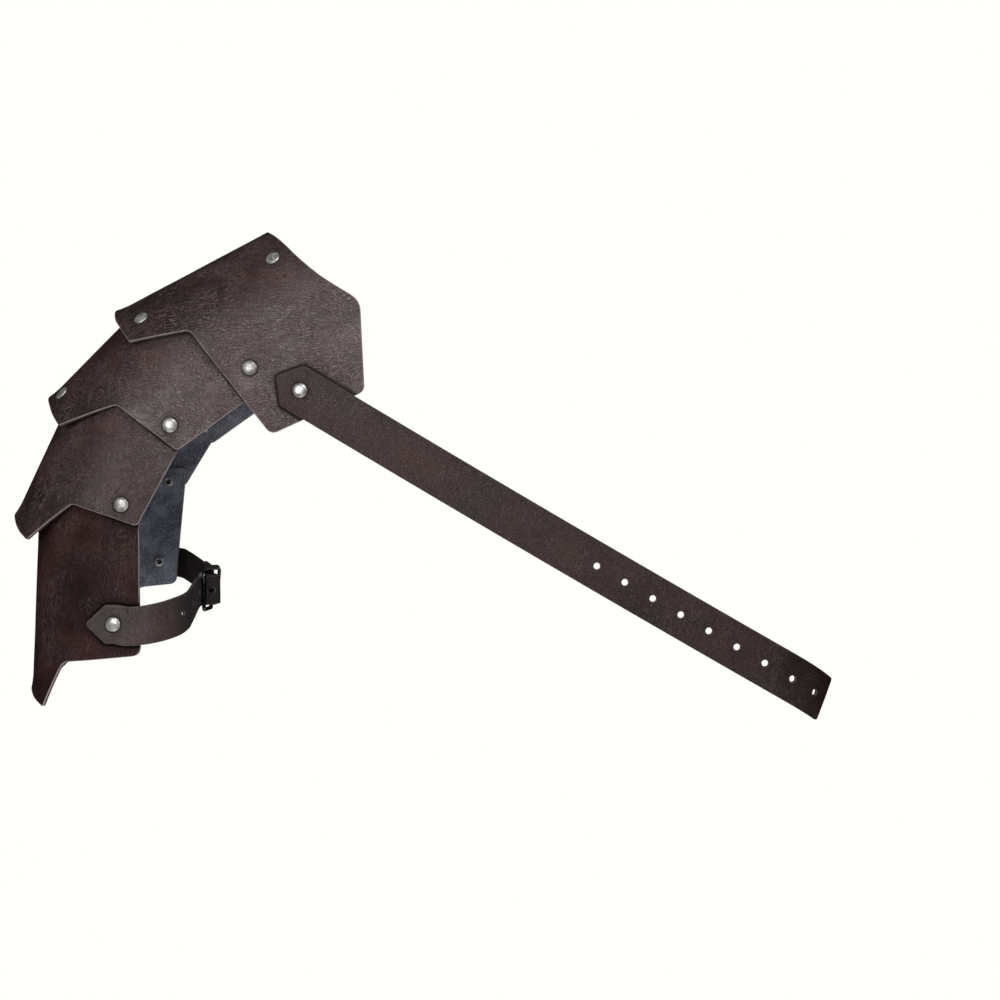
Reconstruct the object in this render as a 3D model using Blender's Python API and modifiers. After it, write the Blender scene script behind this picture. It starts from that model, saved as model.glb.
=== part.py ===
"""Leather pauldron for one shoulder: four riveted plates, a chest strap and a buckled arm strap.

Metres, +Z up, +X towards the neck, -Y to the front. The origin is the underside of the crest of
the top plate, where the pauldron sits on the shoulder. Each plate is a flat leather pattern bent
over an arch: a half round about the crest, and a flat front and back below it. Pattern lengths
are `along` the crest, away from the neck, and `around` it, positive to the front.
"""
from collections import namedtuple
from math import atan, cos, hypot, pi, radians, sin, tan

import bmesh
import bpy
from mathutils import Matrix, Vector

# Leather
PLATE = 0.0024  # thickness of a plate
NEST_GAP = 0.0004  # air between nested plates
CLEAR = 0.0003  # air between any two other pieces
STRAP = 0.0020  # thickness of the arm straps
CHEST = 0.0022  # thickness of the chest strap

# Arches
CREST_RADIUS = 0.070  # outer radius of the top plate's arch
BEND_STEPS = 30  # flats round a half circle
TUCK_STEP = 0.008  # between the folds where a plate tucks under the one above
TUCK_FOLDS = 5

# Plates: slope below level in degrees, length of the crest, reach down the front and the back
Plate = namedtuple("Plate", "slope crest front rear")
PLATE_1 = Plate(slope=28.0, crest=0.120, front=0.172, rear=0.152)
PLATE_2 = Plate(slope=45.5, crest=0.081, front=0.138, rear=0.124)
PLATE_3 = Plate(slope=65.0, crest=0.098, front=0.129, rear=0.116)
PLATE_4 = Plate(slope=88.0, crest=0.133, front=0.122, rear=0.112)

# Where the plates' axes cross, each measured along the upper plate
SEAT_IN = 0.045  # neck edge to the seat on the shoulder
SEAT_TO_SECOND = 0.0452  # seat to the crossing of plates 1 and 2
SECOND_TO_THIRD = 0.0411
THIRD_TO_FOURTH = 0.0529

# Corner radii of the plates
TIP = 0.0020
CRISP = 0.0035
ROUND = 0.0060
EAR = 0.0080
SOFT = 0.0120
SWEEP = 0.0900  # hollow of the neck edge

# Rivets
CAP_RADIUS = 0.0048
CAP_HEIGHT = 0.0017
SHANK_RADIUS = 0.0019
RING_RADIUS = 0.0036
RING_HEIGHT = 0.0013
DIMPLE_RADIUS = 0.0014
RIVET_SIDES = 12
PUNCHED_SIDES = 10  # flats round a punched hole

# Chest strap
CHEST_WIDTH = 0.0295
CHEST_LENGTH = 0.396  # rivet to the loose end
CHEST_POINT = 0.018  # rivet to the pointed end
CHEST_SHOULDER = 0.006  # rivet to where the point begins
CHEST_FALL = 31.0  # degrees below level at the rivet
CHEST_BOW = 1.4  # degrees that the strap straightens by over its length
CURL_LENGTH = 0.049  # end of the strap that curls backwards
CURL_LEAN = 12.0  # degrees that the line it curls about leans from upright
CURL_RADIUS = 0.055
CURL_STEPS = 10  # flats of the curl
BOW_STEPS = 6  # flats of the rest of the strap
CHEST_HOLES = 9
CHEST_HOLE_START = 0.2185
CHEST_HOLE_PITCH = 0.0205
CHEST_HOLE_RADIUS = 0.0021

# Arm strap
ARM_WIDTH = 0.0250  # at the rivet
ARM_END_WIDTH = 0.0200  # from the buckle on
ARM_TAPER_FROM = 0.045  # rivet to where the strap begins to narrow
ARM_POINT = 0.0186
ARM_SHOULDER = 0.0052
ARM_TAIL = 0.0185  # past the buckle's rear bar
ARM_HOLE_RADIUS = 0.0014
ARM_HOLE_PITCH = 0.018
ARM_HOLES_BEFORE = 3
PIERCED_PAST_MIDDLE = 0.0027  # middle of the buckle to the hole in use
LOOP_REACH = 0.0450  # front rivet to the inner side of the arm, towards the neck
LOOP_FRONT_RADIUS = 0.027
LOOP_SIDE_RADIUS = 0.030
LOOP_REAR_RADIUS = 0.010
LOOP_SIDE_DEPTH = 0.024  # where the loop leaves its straight side, behind the crest
LOOP_REAR_IN = 0.031  # loop's rear corner, back from its straight side
LOOP_LEVEL = 0.010  # past the front rivet, before the loop climbs to the buckle
LOOP_DIP = 0.0014  # sag of the level stretch
LOOP_LEAVES = 0.05  # slope with which the loop begins its climb
LOOP_TURN = 0.040  # middle of the buckle, past the end of the loop's front turn
LOOP_TURN_RISE = 0.0085  # end of the front turn, above the front rivet
LOOP_TURN_SLOPE = 0.27
LOOP_BACK = 0.034  # from the middle of the buckle to where the climb eases
LOOP_BACK_RISE = 0.0240  # of that place, above the front rivet
LOOP_BACK_SLOPE = 0.25

# Buckle
BAR_RADIUS = 0.0014
BUCKLE_STRAP_WIDTH = 0.0215
BUCKLE_INSIDE = 0.0224  # opening across the strap
BUCKLE_CORNER = 0.0022  # bend of the bar's middle line
BUCKLE_LENGTH = 0.0210  # middle of the front bar to the middle of the rear bar
BUCKLE_DEPTH = 0.002  # middle of the buckle, behind the crest
BUCKLE_RISE = 0.0170  # middle of the buckle, above the front rivet
PRONG_RADIUS = 0.0011
PRONG_CURL = 290.0  # degrees that the prong wraps round the rear bar
PRONG_OVER = 0.0017  # from the front bar's middle to the prong's end
PRONG_DROP = 0.0004  # of the prong's end
SLOT_WIDTH = 0.0040
FOLD_RETURN = 0.031  # length of the strap folded back past the rear bar
FOLD_RIVET_IN = 0.0065  # rivet to the end of the fold
FOLD_CLOSE = 0.010  # length over which the fold closes behind the bar
KEEPER_WIDTH = 0.0060
KEEPER_THICKNESS = 0.0014
KEEPER_BACK = 0.0142  # rear bar to the keeper
KEEPER_ROOM = 0.0008  # between the keeper and the straps in it

PRONG_STEPS = 10  # bends of the prong's curl
WEAVE_STEPS = 12  # flats where the strap passes under and over the buckle's bars
FOLD_STEPS = 12  # flats of the strap's turn round the bar

# Colours
LEATHER = (0.058, 0.030, 0.022)
STRAP_LEATHER = (0.045, 0.024, 0.018)
STEEL = (0.55, 0.54, 0.52)
GUNMETAL = (0.045, 0.045, 0.05)

# Outlines: `along` as a share of the crest, `around` as a share of the reach, corner radius.
# Each runs from the crest's upper edge, down the front or the back, to the crest's lower end.
FRONT_1 = [
    (0.035, 0.00, 0), (0.035, 0.14, SWEEP), (-0.065, 0.437, SWEEP), (-0.125, 0.558, SWEEP),
    (-0.255, 0.712, SOFT), (-0.05, 1.017, ROUND), (0.495, 0.998, ROUND), (0.62, 0.51, ROUND),
    (0.942, 0.428, TIP), (0.985, 0.27, SOFT), (1.00, 0.09, SOFT), (1.005, 0.00, 0)]
REAR_1 = [
    (0.035, 0.00, 0), (0.035, 0.15, SWEEP), (-0.01, 0.46, SWEEP), (-0.05, 0.60, SWEEP),
    (-0.08, 0.74, SOFT), (0.06, 1.0, ROUND), (0.52, 0.98, ROUND), (0.63, 0.57, ROUND),
    (0.94, 0.47, TIP), (0.985, 0.30, SOFT), (1.00, 0.10, SOFT), (1.005, 0.00, 0)]
FRONT_2 = [
    (-0.02, 0.00, 0), (-0.02, 0.50, ROUND), (-0.40, 0.60, EAR), (-0.49, 0.86, EAR), (-0.49, 1.09, EAR),
    (0.478, 0.998, CRISP), (0.556, 0.645, ROUND), (1.014, 0.493, TIP), (1.002, 0.33, SOFT),
    (0.998, 0.17, SOFT), (1.0, 0.00, 0)]
REAR_2 = [
    (-0.02, 0.00, 0), (-0.02, 0.555, ROUND), (-0.38, 0.67, EAR), (-0.42, 0.88, EAR), (-0.42, 1.10, EAR),
    (0.464, 0.998, CRISP), (0.54, 0.69, ROUND), (0.99, 0.50, TIP), (1.0, 0.33, SOFT),
    (1.0, 0.17, SOFT), (1.0, 0.00, 0)]
FRONT_3 = [
    (-0.015, 0.00, 0), (-0.015, 0.48, ROUND), (-0.11, 0.60, ROUND), (-0.15, 0.83, ROUND), (-0.15, 1.03, ROUND),
    (0.647, 0.998, CRISP), (0.694, 0.653, ROUND), (1.05, 0.488, TIP), (1.035, 0.40, SOFT),
    (0.997, 0.257, SOFT), (0.985, 0.00, 0)]
REAR_3 = [
    (-0.015, 0.00, 0), (-0.015, 0.54, ROUND), (-0.11, 0.68, ROUND), (-0.14, 0.90, ROUND), (-0.14, 1.045, ROUND),
    (0.394, 0.995, CRISP), (0.52, 0.72, ROUND), (0.97, 0.50, TIP), (0.99, 0.37, SOFT),
    (0.99, 0.20, SOFT), (0.985, 0.00, 0)]
FRONT_4 = [
    (-0.01, 0.00, 0), (-0.01, 0.97, ROUND), (0.165, 0.97, SOFT), (0.777, 1.004, ROUND),
    (0.802, 0.79, SOFT), (0.826, 0.579, EAR), (1.06, 0.425, TIP), (1.03, 0.30, SOFT),
    (1.006, 0.215, SOFT), (1.0, 0.00, 0)]
REAR_4 = [
    (-0.01, 0.00, 0), (-0.01, 0.48, ROUND), (-0.14, 0.69, ROUND), (-0.153, 1.04, CRISP),
    (0.494, 0.996, ROUND), (0.52, 0.77, SOFT), (0.60, 0.62, SOFT), (0.88, 0.36, SOFT),
    (0.98, 0.18, SOFT), (1.0, 0.00, 0)]

# Rivets through the plates: the plate that the cap lies on and its place there, in the same
# shares as the outlines, and how many plates it goes through.
Rivet = namedtuple("Rivet", "name plate along around side through")
RIVETS = [
    Rivet("rivet_neck_front", 0, 0.055, 0.393, "front", 1),
    Rivet("rivet_neck_rear", 0, 0.055, 0.445, "rear", 1),
    Rivet("rivet_crest_1_front", 0, 0.841, 0.339, "front", 1),
    Rivet("rivet_crest_1_rear", 0, 0.841, 0.384, "rear", 1),
    Rivet("rivet_crest_2_front", 1, 0.857, 0.303, "front", 1),
    Rivet("rivet_crest_2_rear", 1, 0.857, 0.337, "rear", 1),
    Rivet("rivet_joint_12_front", 0, 0.428, 0.743, "front", 2),
    Rivet("rivet_joint_12_rear", 0, 0.475, 0.770, "rear", 2),
    Rivet("rivet_joint_23_front", 1, 0.374, 0.891, "front", 2),
    Rivet("rivet_joint_23_rear", 1, 0.400, 0.905, "rear", 2),
    Rivet("rivet_joint_34_front", 2, 0.563, 0.881, "front", 2),
    Rivet("rivet_joint_34_rear", 2, 0.421, 0.896, "rear", 2),
]
CHEST_RIVET_AT = (0.247, 0.906)  # on the front of plate 1
ARM_RIVET_AT = (0.629, 0.858)  # on the front of plate 4
BUCKLE_RIVET_AT = (0.373, 0.885)  # on the back of plate 4

PARTS = "pauldron"
CUTTERS = "cutters"
Arch = namedtuple("Arch", "foot along out radius size")
Spot = namedtuple("Spot", "point normal")


def clear_scene():
    """Removes whatever the scene holds, so that the script can be run again."""
    for item in list(bpy.data.objects):
        bpy.data.objects.remove(item, do_unlink=True)
    for group in list(bpy.data.collections):
        bpy.data.collections.remove(group)
    for name in (PARTS, CUTTERS):
        group = bpy.data.collections.new(name)
        bpy.context.scene.collection.children.link(group)


def material(name, colour, roughness, metallic=0.0):
    """A plain finish for one piece."""
    finish = bpy.data.materials.new(name)
    finish.use_nodes = True
    shader = finish.node_tree.nodes["Principled BSDF"]
    shader.inputs["Base Color"].default_value = (*colour, 1.0)
    shader.inputs["Roughness"].default_value = roughness
    shader.inputs["Metallic"].default_value = metallic
    return finish


def add_object(name, mesh, group=PARTS):
    """Puts a mesh in the scene under its own name."""
    item = bpy.data.objects.new(name, mesh)
    bpy.data.collections[group].objects.link(item)
    return item


def finish_leather(item, colour):
    """Gives a leather piece its own material."""
    item.data.materials.append(material(item.name, colour, 0.5))


def finish_metal(item, colour, roughness):
    """Gives a metal piece its own material."""
    item.data.materials.append(material(item.name, colour, roughness, 1.0))


# Flat patterns

def rounded(corners, steps_per_turn=18):
    """Points of a closed outline whose corners, given as x, y and radius, are rounded."""
    points = []
    count = len(corners)
    for index, (x, y, radius) in enumerate(corners):
        here = Vector((x, y))
        back = Vector(corners[index - 1][:2]) - here
        ahead = Vector(corners[(index + 1) % count][:2]) - here
        turn = pi - back.angle(ahead)
        if radius == 0 or turn < radians(1.0):
            points.append(here)
            continue
        setback = min(radius * tan(turn / 2), 0.49 * back.length, 0.49 * ahead.length)
        start = here + back.normalized() * setback
        end = here + ahead.normalized() * setback
        pieces = max(2, round(turn / (2 * pi) * steps_per_turn) + 1)
        for step in range(pieces + 1):
            share = step / pieces
            pull = (1 - share) ** 2, 2 * share * (1 - share), share ** 2
            points.append(start * pull[0] + here * pull[1] + end * pull[2])
    return points


def flat_mesh(outline, thickness):
    """A flat outline with a thickness, its middle at height zero, as a clean BMesh."""
    curve = bpy.data.curves.new("pattern", "CURVE")
    curve.dimensions = "2D"
    curve.fill_mode = "BOTH"
    curve.extrude = thickness / 2
    curve.render_resolution_u = 0
    line = curve.splines.new("POLY")
    line.points.add(len(outline) - 1)
    for place, point in zip(line.points, outline):
        place.co = (point[0], point[1], 0.0, 1.0)
    line.use_cyclic_u = True
    holder = add_object("pattern", curve)
    seen = holder.evaluated_get(bpy.context.evaluated_depsgraph_get())
    mesh = bpy.data.meshes.new_from_object(seen)
    bpy.data.objects.remove(holder, do_unlink=True)
    flat = bmesh.new()
    flat.from_mesh(mesh)
    bpy.data.meshes.remove(mesh)
    bmesh.ops.remove_doubles(flat, verts=flat.verts, dist=1e-6)
    bmesh.ops.dissolve_limit(flat, angle_limit=radians(0.2), verts=flat.verts, edges=flat.edges)
    return flat


def bent_piece(name, outline, thickness, folds, place):
    """Scores a flat pattern at the folds and bends it into place, as one closed solid.

    A fold is a line across the pattern, given by its direction away from the origin and distance.
    """
    flat = flat_mesh(outline, thickness)
    for direction, distance in folds:
        bmesh.ops.bisect_plane(
            flat, geom=flat.verts[:] + flat.edges[:] + flat.faces[:], dist=1e-6,
            plane_co=direction * distance, plane_no=direction)
    for corner in flat.verts:
        corner.co = place(corner.co.x, corner.co.y, corner.co.z)
    bmesh.ops.triangulate(flat, faces=flat.faces[:])
    bmesh.ops.recalc_face_normals(flat, faces=flat.faces[:])
    mesh = bpy.data.meshes.new(name)
    flat.to_mesh(mesh)
    flat.free()
    return add_object(name, mesh)


def punch(item, name, spots, radius, depth, sides=RIVET_SIDES):
    """Cuts round holes through a piece at each of the spots, along the spot's normal."""
    drill = bmesh.new()
    for spot in spots:
        turn = spot.normal.to_track_quat("Z", "Y").to_matrix().to_4x4()
        bmesh.ops.create_cone(
            drill, cap_ends=True, segments=sides, radius1=radius, radius2=radius,
            depth=depth, matrix=Matrix.Translation(spot.point) @ turn)
    mesh = bpy.data.meshes.new(name)
    drill.to_mesh(mesh)
    drill.free()
    cut_with(item, mesh)


def cut_with(item, mesh):
    """Cuts a closed mesh out of a piece."""
    cutter = add_object(mesh.name, mesh, CUTTERS)
    cutter.hide_render = True
    cutter.display_type = "WIRE"
    cut = item.modifiers.new(cutter.name, "BOOLEAN")
    cut.operation = "DIFFERENCE"
    cut.solver = "EXACT"
    cut.object = cutter


# Plates

def make_arches():
    """The arch of each plate: a point on its axis, its directions, its outer radius and sizes."""
    sizes = (PLATE_1, PLATE_2, PLATE_3, PLATE_4)
    steps = (SEAT_TO_SECOND, SECOND_TO_THIRD, THIRD_TO_FOURTH, 0.0)
    arches = []
    foot = None
    for index, (size, step) in enumerate(zip(sizes, steps)):
        slope = radians(size.slope)
        along = Vector((-cos(slope), 0.0, -sin(slope)))
        out = Vector((-sin(slope), 0.0, cos(slope)))
        radius = CREST_RADIUS - index * (PLATE + NEST_GAP)
        if foot is None:
            seat = -out * (radius - PLATE)
            arches.append(Arch(seat - along * SEAT_IN, along, out, radius, size))
            foot = seat + along * step
        else:
            arches.append(Arch(foot, along, out, radius, size))
            foot = foot + along * step
    return arches


def on_arch(arch, along, around, height):
    """World place of a pattern point, `height` above the plate's outer face."""
    side = 1.0 if around >= 0 else -1.0
    length = abs(around)
    quarter = arch.radius * pi / 2
    angle = min(length, quarter) / arch.radius
    below = max(length - quarter, 0.0)
    radius = arch.radius + height
    rise = radius * cos(angle) - below
    forward = Vector((0.0, -side * radius * sin(angle), 0.0))
    return arch.foot + arch.along * along + arch.out * rise + forward


def arch_spot(arch, along, around, height=0.0):
    """A spot on a plate, with the direction that its leather faces."""
    low = on_arch(arch, along, around, height)
    high = on_arch(arch, along, around, height + PLATE)
    return Spot(low, (high - low).normalized())


def plate_place(arch, shares, side):
    """Pattern lengths of a place given in shares of a plate's sizes."""
    reach = arch.size.front if side == "front" else -arch.size.rear
    return shares[0] * arch.size.crest, shares[1] * reach


def plate_outline(arch, front, rear):
    """Rounded outline of a plate from its front and rear tables."""
    corners = []
    for along, around, radius in front:
        corners.append((along * arch.size.crest, around * arch.size.front, radius))
    for along, around, radius in reversed(rear[1:-1]):
        corners.append((along * arch.size.crest, -around * arch.size.rear, radius))
    return rounded(corners)


def tucked(point, upper, height):
    """Presses a point of a plate against the inside of the plate above it, where they meet."""
    if upper is None:
        return point
    rise = (point - upper.foot).dot(upper.out)
    room = upper.radius - PLATE - NEST_GAP + height
    reach = hypot(rise, point.y)
    if rise <= 0.0 or reach <= room:
        return point
    pressed = point + upper.out * (rise * (room / reach - 1))
    pressed.y = point.y * room / reach
    return pressed


def make_plate(number, arch, upper, front, rear, holes):
    """One leather plate with its rivet holes."""
    quarter = arch.radius * pi / 2
    around = Vector((0.0, 1.0, 0.0))
    along = Vector((1.0, 0.0, 0.0))
    folds = [(around, quarter * (2 * step / BEND_STEPS - 1)) for step in range(BEND_STEPS + 1)]
    if upper is not None:
        folds += [(along, -TUCK_STEP * step) for step in range(TUCK_FOLDS)]
        folds += [(around, side * (quarter + TUCK_STEP)) for side in (-1, 1)]

    def place(length, girth, height):
        return tucked(on_arch(arch, length, girth, height - PLATE / 2), upper, height - PLATE / 2)

    plate = bent_piece(f"plate_{number}", plate_outline(arch, front, rear), PLATE, folds, place)
    finish_leather(plate, LEATHER)
    punch(plate, plate.name + "_holes", holes, SHANK_RADIUS + CLEAR, 4 * PLATE)
    return plate


# Rivets

def make_rivet(name, spot, grip):
    """A capped rivet, its cap just above the spot and its ring below the grip."""
    under = -(grip + 2 * CLEAR)
    profile = [
        (0.0, CAP_HEIGHT),
        (0.50 * CAP_RADIUS, 0.88 * CAP_HEIGHT),
        (0.85 * CAP_RADIUS, 0.55 * CAP_HEIGHT),
        (CAP_RADIUS, 0.12 * CAP_HEIGHT),
        (0.96 * CAP_RADIUS, 0.0),
        (SHANK_RADIUS, 0.0),
        (SHANK_RADIUS, under),
        (RING_RADIUS, under),
        (0.80 * RING_RADIUS, under - RING_HEIGHT),
        (DIMPLE_RADIUS, under - 0.8 * RING_HEIGHT),
        (0.0, under - 0.2 * RING_HEIGHT),
    ]
    mesh = bpy.data.meshes.new(name)
    points = [(radius, 0.0, height) for radius, height in profile]
    mesh.from_pydata(points, [(step, step + 1) for step in range(len(points) - 1)], [])
    rivet = add_object(name, mesh)
    turned = rivet.modifiers.new("turned", "SCREW")
    turned.steps = RIVET_SIDES
    turned.render_steps = RIVET_SIDES
    turned.use_merge_vertices = True
    turned.merge_threshold = 1e-6
    rivet.rotation_mode = "QUATERNION"
    rivet.rotation_quaternion = spot.normal.to_track_quat("Z", "Y")
    rivet.location = spot.point + spot.normal * CLEAR
    finish_metal(rivet, STEEL, 0.3)
    return rivet


def holes_in(arch, spots):
    """Spots of the rivets that pass a plate, moved to the plate's middle along their normals."""
    return [Spot(on_arch_near(arch, spot), spot.normal) for spot in spots]


def on_arch_near(arch, spot):
    """Where a line through the spot along its normal meets the middle of a plate's flat side."""
    depth = arch.radius - PLATE / 2
    wanted = depth if spot.point.y > 0 else -depth
    if abs(spot.normal.y) < 0.999:
        return spot.point - spot.normal * (PLATE / 2)
    return Vector((spot.point.x, wanted, spot.point.z))


# Chest strap

def chest_place(spot):
    """How the chest strap's pattern lies: a slight bow in its plane, and a curl at its end."""
    bow = CHEST_LENGTH / radians(CHEST_BOW)
    first = radians(CHEST_FALL)

    def flat(length, across):
        heading = first - length / bow
        run = bow * (sin(first) - sin(heading)) + across * sin(heading)
        rise = bow * (cos(first) - cos(heading)) + across * cos(heading)
        return run, rise

    lean = radians(CURL_LEAN)

    def turned(run, rise, side):
        return run * cos(lean) - side * rise * sin(lean), rise * cos(lean) + side * run * sin(lean)

    curl_from = turned(*flat(CHEST_LENGTH - CURL_LENGTH, 0.0), 1)[0]

    def place(length, across, height):
        run, rise = turned(*flat(length, across), 1)
        turn = max(run - curl_from, 0.0) / CURL_RADIUS
        reach = min(run, curl_from) + (CURL_RADIUS + height) * sin(turn)
        back = CURL_RADIUS - (CURL_RADIUS + height) * cos(turn)
        run, rise = turned(reach, rise, -1)
        return spot.point + Vector((run, back, rise))

    return place


def strap_spot(place, length, across=0.0):
    """A spot in the middle of a strap's thickness."""
    low = place(length, across, 0.0)
    high = place(length, across, STRAP)
    return Spot(low, (high - low).normalized())


def make_chest_strap(arch):
    """The long strap across the chest, with its punched holes, and its rivet."""
    seat = arch_spot(arch, *plate_place(arch, CHEST_RIVET_AT, "front"), CLEAR + CHEST / 2)
    place = chest_place(seat)
    half = CHEST_WIDTH / 2
    outline = rounded([
        (-CHEST_POINT, 0.0, CRISP), (-CHEST_SHOULDER, -half, CRISP), (CHEST_LENGTH, -half, TIP),
        (CHEST_LENGTH, half, TIP), (-CHEST_SHOULDER, half, CRISP)])
    heading = radians(CHEST_FALL - CHEST_BOW - CURL_LEAN)
    across = Vector((1.0, 0.0, 0.0))
    leaning = Vector((cos(heading), sin(heading), 0.0))
    flat_end = CHEST_LENGTH - CURL_LENGTH
    folds = [(across, flat_end * step / BOW_STEPS) for step in range(1, BOW_STEPS)]
    curl_span = CURL_LENGTH * cos(heading) + half * sin(heading)
    for step in range(CURL_STEPS):
        folds.append((leaning, flat_end * cos(heading) + curl_span * step / CURL_STEPS))
    strap = bent_piece("chest_strap", outline, CHEST, folds, place)
    finish_leather(strap, STRAP_LEATHER)
    punch(strap, "chest_strap_rivet_hole", [strap_spot(place, 0.0)], SHANK_RADIUS + CLEAR, 4 * CHEST)
    holes = [strap_spot(place, CHEST_HOLE_START + CHEST_HOLE_PITCH * step) for step in range(CHEST_HOLES)]
    punch(strap, "chest_strap_punched", holes, CHEST_HOLE_RADIUS, 4 * CHEST, PUNCHED_SIDES)
    top = Spot(seat.point + seat.normal * CHEST / 2, seat.normal)
    make_rivet("rivet_chest_strap", top, PLATE + CLEAR + CHEST)
    return arch_spot(arch, *plate_place(arch, CHEST_RIVET_AT, "front"))


# Arm strap and buckle

class Route:
    """Line of the arm loop seen from above: straight runs joined by arcs, and its rise."""

    def __init__(self, corners, front, rear, buckle):
        self.runs = []
        points = [Vector(corner[:2]) for corner in corners]
        at = points[0]
        length = 0.0
        for index in range(1, len(points)):
            heading = (points[index] - points[index - 1]).normalized()
            setback = 0.0
            if index < len(points) - 1:
                leaving = (points[index + 1] - points[index]).normalized()
                turn = heading.angle(leaving)
                setback = corners[index][2] * tan(turn / 2)
            stop = points[index] - heading * setback
            run = (stop - at).length
            self.runs.append((length, run, at, heading, 0.0))
            length += run
            at = stop
            if setback:
                arc = corners[index][2] * turn
                self.runs.append((length, arc, at, heading, 1.0 / corners[index][2]))
                length += arc
                at = points[index] + leaving * setback
        self.length = length
        self.rear_rivet = self.where(rear.to_2d())
        self.buckle = self.where(buckle)
        self.knots = self.make_knots(front.z, rear.z)

    def where(self, point):
        """Length along the route of the place nearest to a point seen from above."""
        steps = 2000
        lengths = [self.length * step / steps for step in range(steps + 1)]
        return min(lengths, key=lambda length: (self.plan(length)[0] - point).length)

    def plan(self, length):
        """Place and heading seen from above. The loop turns to the left all the way."""
        chosen = self.runs[0]
        for run in self.runs:
            if length >= run[0]:
                chosen = run
        start, _, at, heading, bend = chosen
        gone = length - start
        if bend == 0.0:
            return at + heading * gone, heading
        angle = gone * bend
        side = Vector((-heading.y, heading.x))
        place = at + heading * (sin(angle) / bend) + side * ((1 - cos(angle)) / bend)
        return place, heading * cos(angle) + side * sin(angle)

    def make_knots(self, front_height, rear_height):
        """Length, height and slope where the loop's climb changes."""
        half = BUCKLE_LENGTH / 2 + BAR_RADIUS
        return [
            (ARM_POINT, front_height, 0.0),
            (ARM_POINT + LOOP_LEVEL, front_height - LOOP_DIP, LOOP_LEAVES),
            (self.buckle - LOOP_TURN, front_height + LOOP_TURN_RISE, LOOP_TURN_SLOPE),
            (self.buckle - half, front_height + BUCKLE_RISE, 0.0),
            (self.buckle + half, front_height + BUCKLE_RISE, 0.0),
            (self.buckle + LOOP_BACK, front_height + LOOP_BACK_RISE, LOOP_BACK_SLOPE),
            (self.rear_rivet, rear_height, 0.0)]

    def height(self, length):
        """Height of the strap's middle line, on a smooth curve through the knots."""
        start, low, slope = self.knots[0]
        for end, high, next_slope in self.knots[1:]:
            if length < end:
                break
            start, low, slope = end, high, next_slope
        gone = length - start
        if gone <= 0 or start == end:
            return low + gone * slope
        run = end - start
        share = gone / run
        bend = slope * (1 - share) - next_slope * share
        return low + (high - low) * eased(share, 0.0, 1.0) + run * share * (1 - share) * bend

    def frame(self, length):
        """Place, heading, width direction and outward direction at a length."""
        place, heading = self.plan(length)
        step = 1e-4
        slope = atan((self.height(length + step) - self.height(length - step)) / (2 * step))
        run = Vector((heading.x * cos(slope), heading.y * cos(slope), sin(slope)))
        out = Vector((heading.y, -heading.x, 0.0))
        up = out.cross(run)
        return Vector((place.x, place.y, self.height(length))), run, up, out

    def folds(self, first, last, spacing=0.0045):
        """Lengths at which a strap between two lengths is scored, close on the arcs."""
        found = []
        for start, run, _, _, bend in self.runs:
            steps = max(1, round(run / (spacing if bend else 3 * spacing)))
            found += [start + run * step / steps for step in range(steps)]
        return [length for length in found if first + 1e-4 < length < last - 1e-4]


def eased(value, start, end):
    """Zero before the start, one after the end, and a smooth step between."""
    share = min(max((value - start) / (end - start), 0.0), 1.0)
    return share * share * (3 - 2 * share)


def make_route(front, rear, reach_x):
    """Line of the loop through the middle of the buckle, from the front rivet to the rear one."""
    aside = BAR_RADIUS + CLEAR + STRAP / 2
    front_y = front.point.y - aside
    rear_y = rear.point.y + aside
    corners = [
        (front.point.x - ARM_POINT, front_y, 0.0),
        (reach_x, front_y, LOOP_FRONT_RADIUS),
        (reach_x, LOOP_SIDE_DEPTH, LOOP_SIDE_RADIUS),
        (reach_x - LOOP_REAR_IN, rear_y, LOOP_REAR_RADIUS),
        (rear.point.x - ARM_POINT, rear_y, 0.0),
    ]
    return Route(corners, front.point, rear.point, Vector((reach_x, BUCKLE_DEPTH)))


def cross_folds(lengths):
    """Folds straight across a strap, at each of the lengths."""
    return [(Vector((1.0, 0.0, 0.0)), length) for length in sorted(set(lengths))]


def make_arm_strap(route, rear_bar, front_bar):
    """Strap from the front rivet, under the front bar and over the rear one, to its loose end."""
    aside = BAR_RADIUS + CLEAR + STRAP / 2
    over = aside + STRAP + CLEAR
    end = rear_bar + ARM_TAIL
    closed = -aside + 2 * (STRAP + CLEAR)

    def place(length, across, height):
        up = eased(length, front_bar + BAR_RADIUS, rear_bar - BAR_RADIUS) * (aside + over)
        down = eased(length, rear_bar + BAR_RADIUS, rear_bar + FOLD_CLOSE) * (over - closed)
        centre, _, rise, out = route.frame(length)
        return centre + rise * across + out * (up - aside - down + height)

    half = ARM_WIDTH / 2
    slim = ARM_END_WIDTH / 2
    shoulder = ARM_POINT - ARM_SHOULDER
    outline = rounded([
        (0.0, 0.0, CRISP), (shoulder, -half, CRISP), (ARM_POINT + ARM_TAPER_FROM, -half, SOFT),
        (front_bar, -slim, SOFT), (end - slim, -slim, ROUND), (end, 0.0, CRISP),
        (end - slim, slim, ROUND), (front_bar, slim, SOFT), (ARM_POINT + ARM_TAPER_FROM, half, SOFT),
        (shoulder, half, CRISP)])
    woven = rear_bar + FOLD_CLOSE - front_bar
    weave = [front_bar + woven * step / WEAVE_STEPS for step in range(WEAVE_STEPS + 1)]
    strap = bent_piece("arm_strap", outline, STRAP, cross_folds(route.folds(0.0, end) + weave), place)
    finish_leather(strap, STRAP_LEATHER)
    rivet_hole = [strap_spot(place, ARM_POINT)]
    punch(strap, "arm_strap_rivet_hole", rivet_hole, SHANK_RADIUS + CLEAR, 4 * STRAP)
    return strap, place


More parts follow.
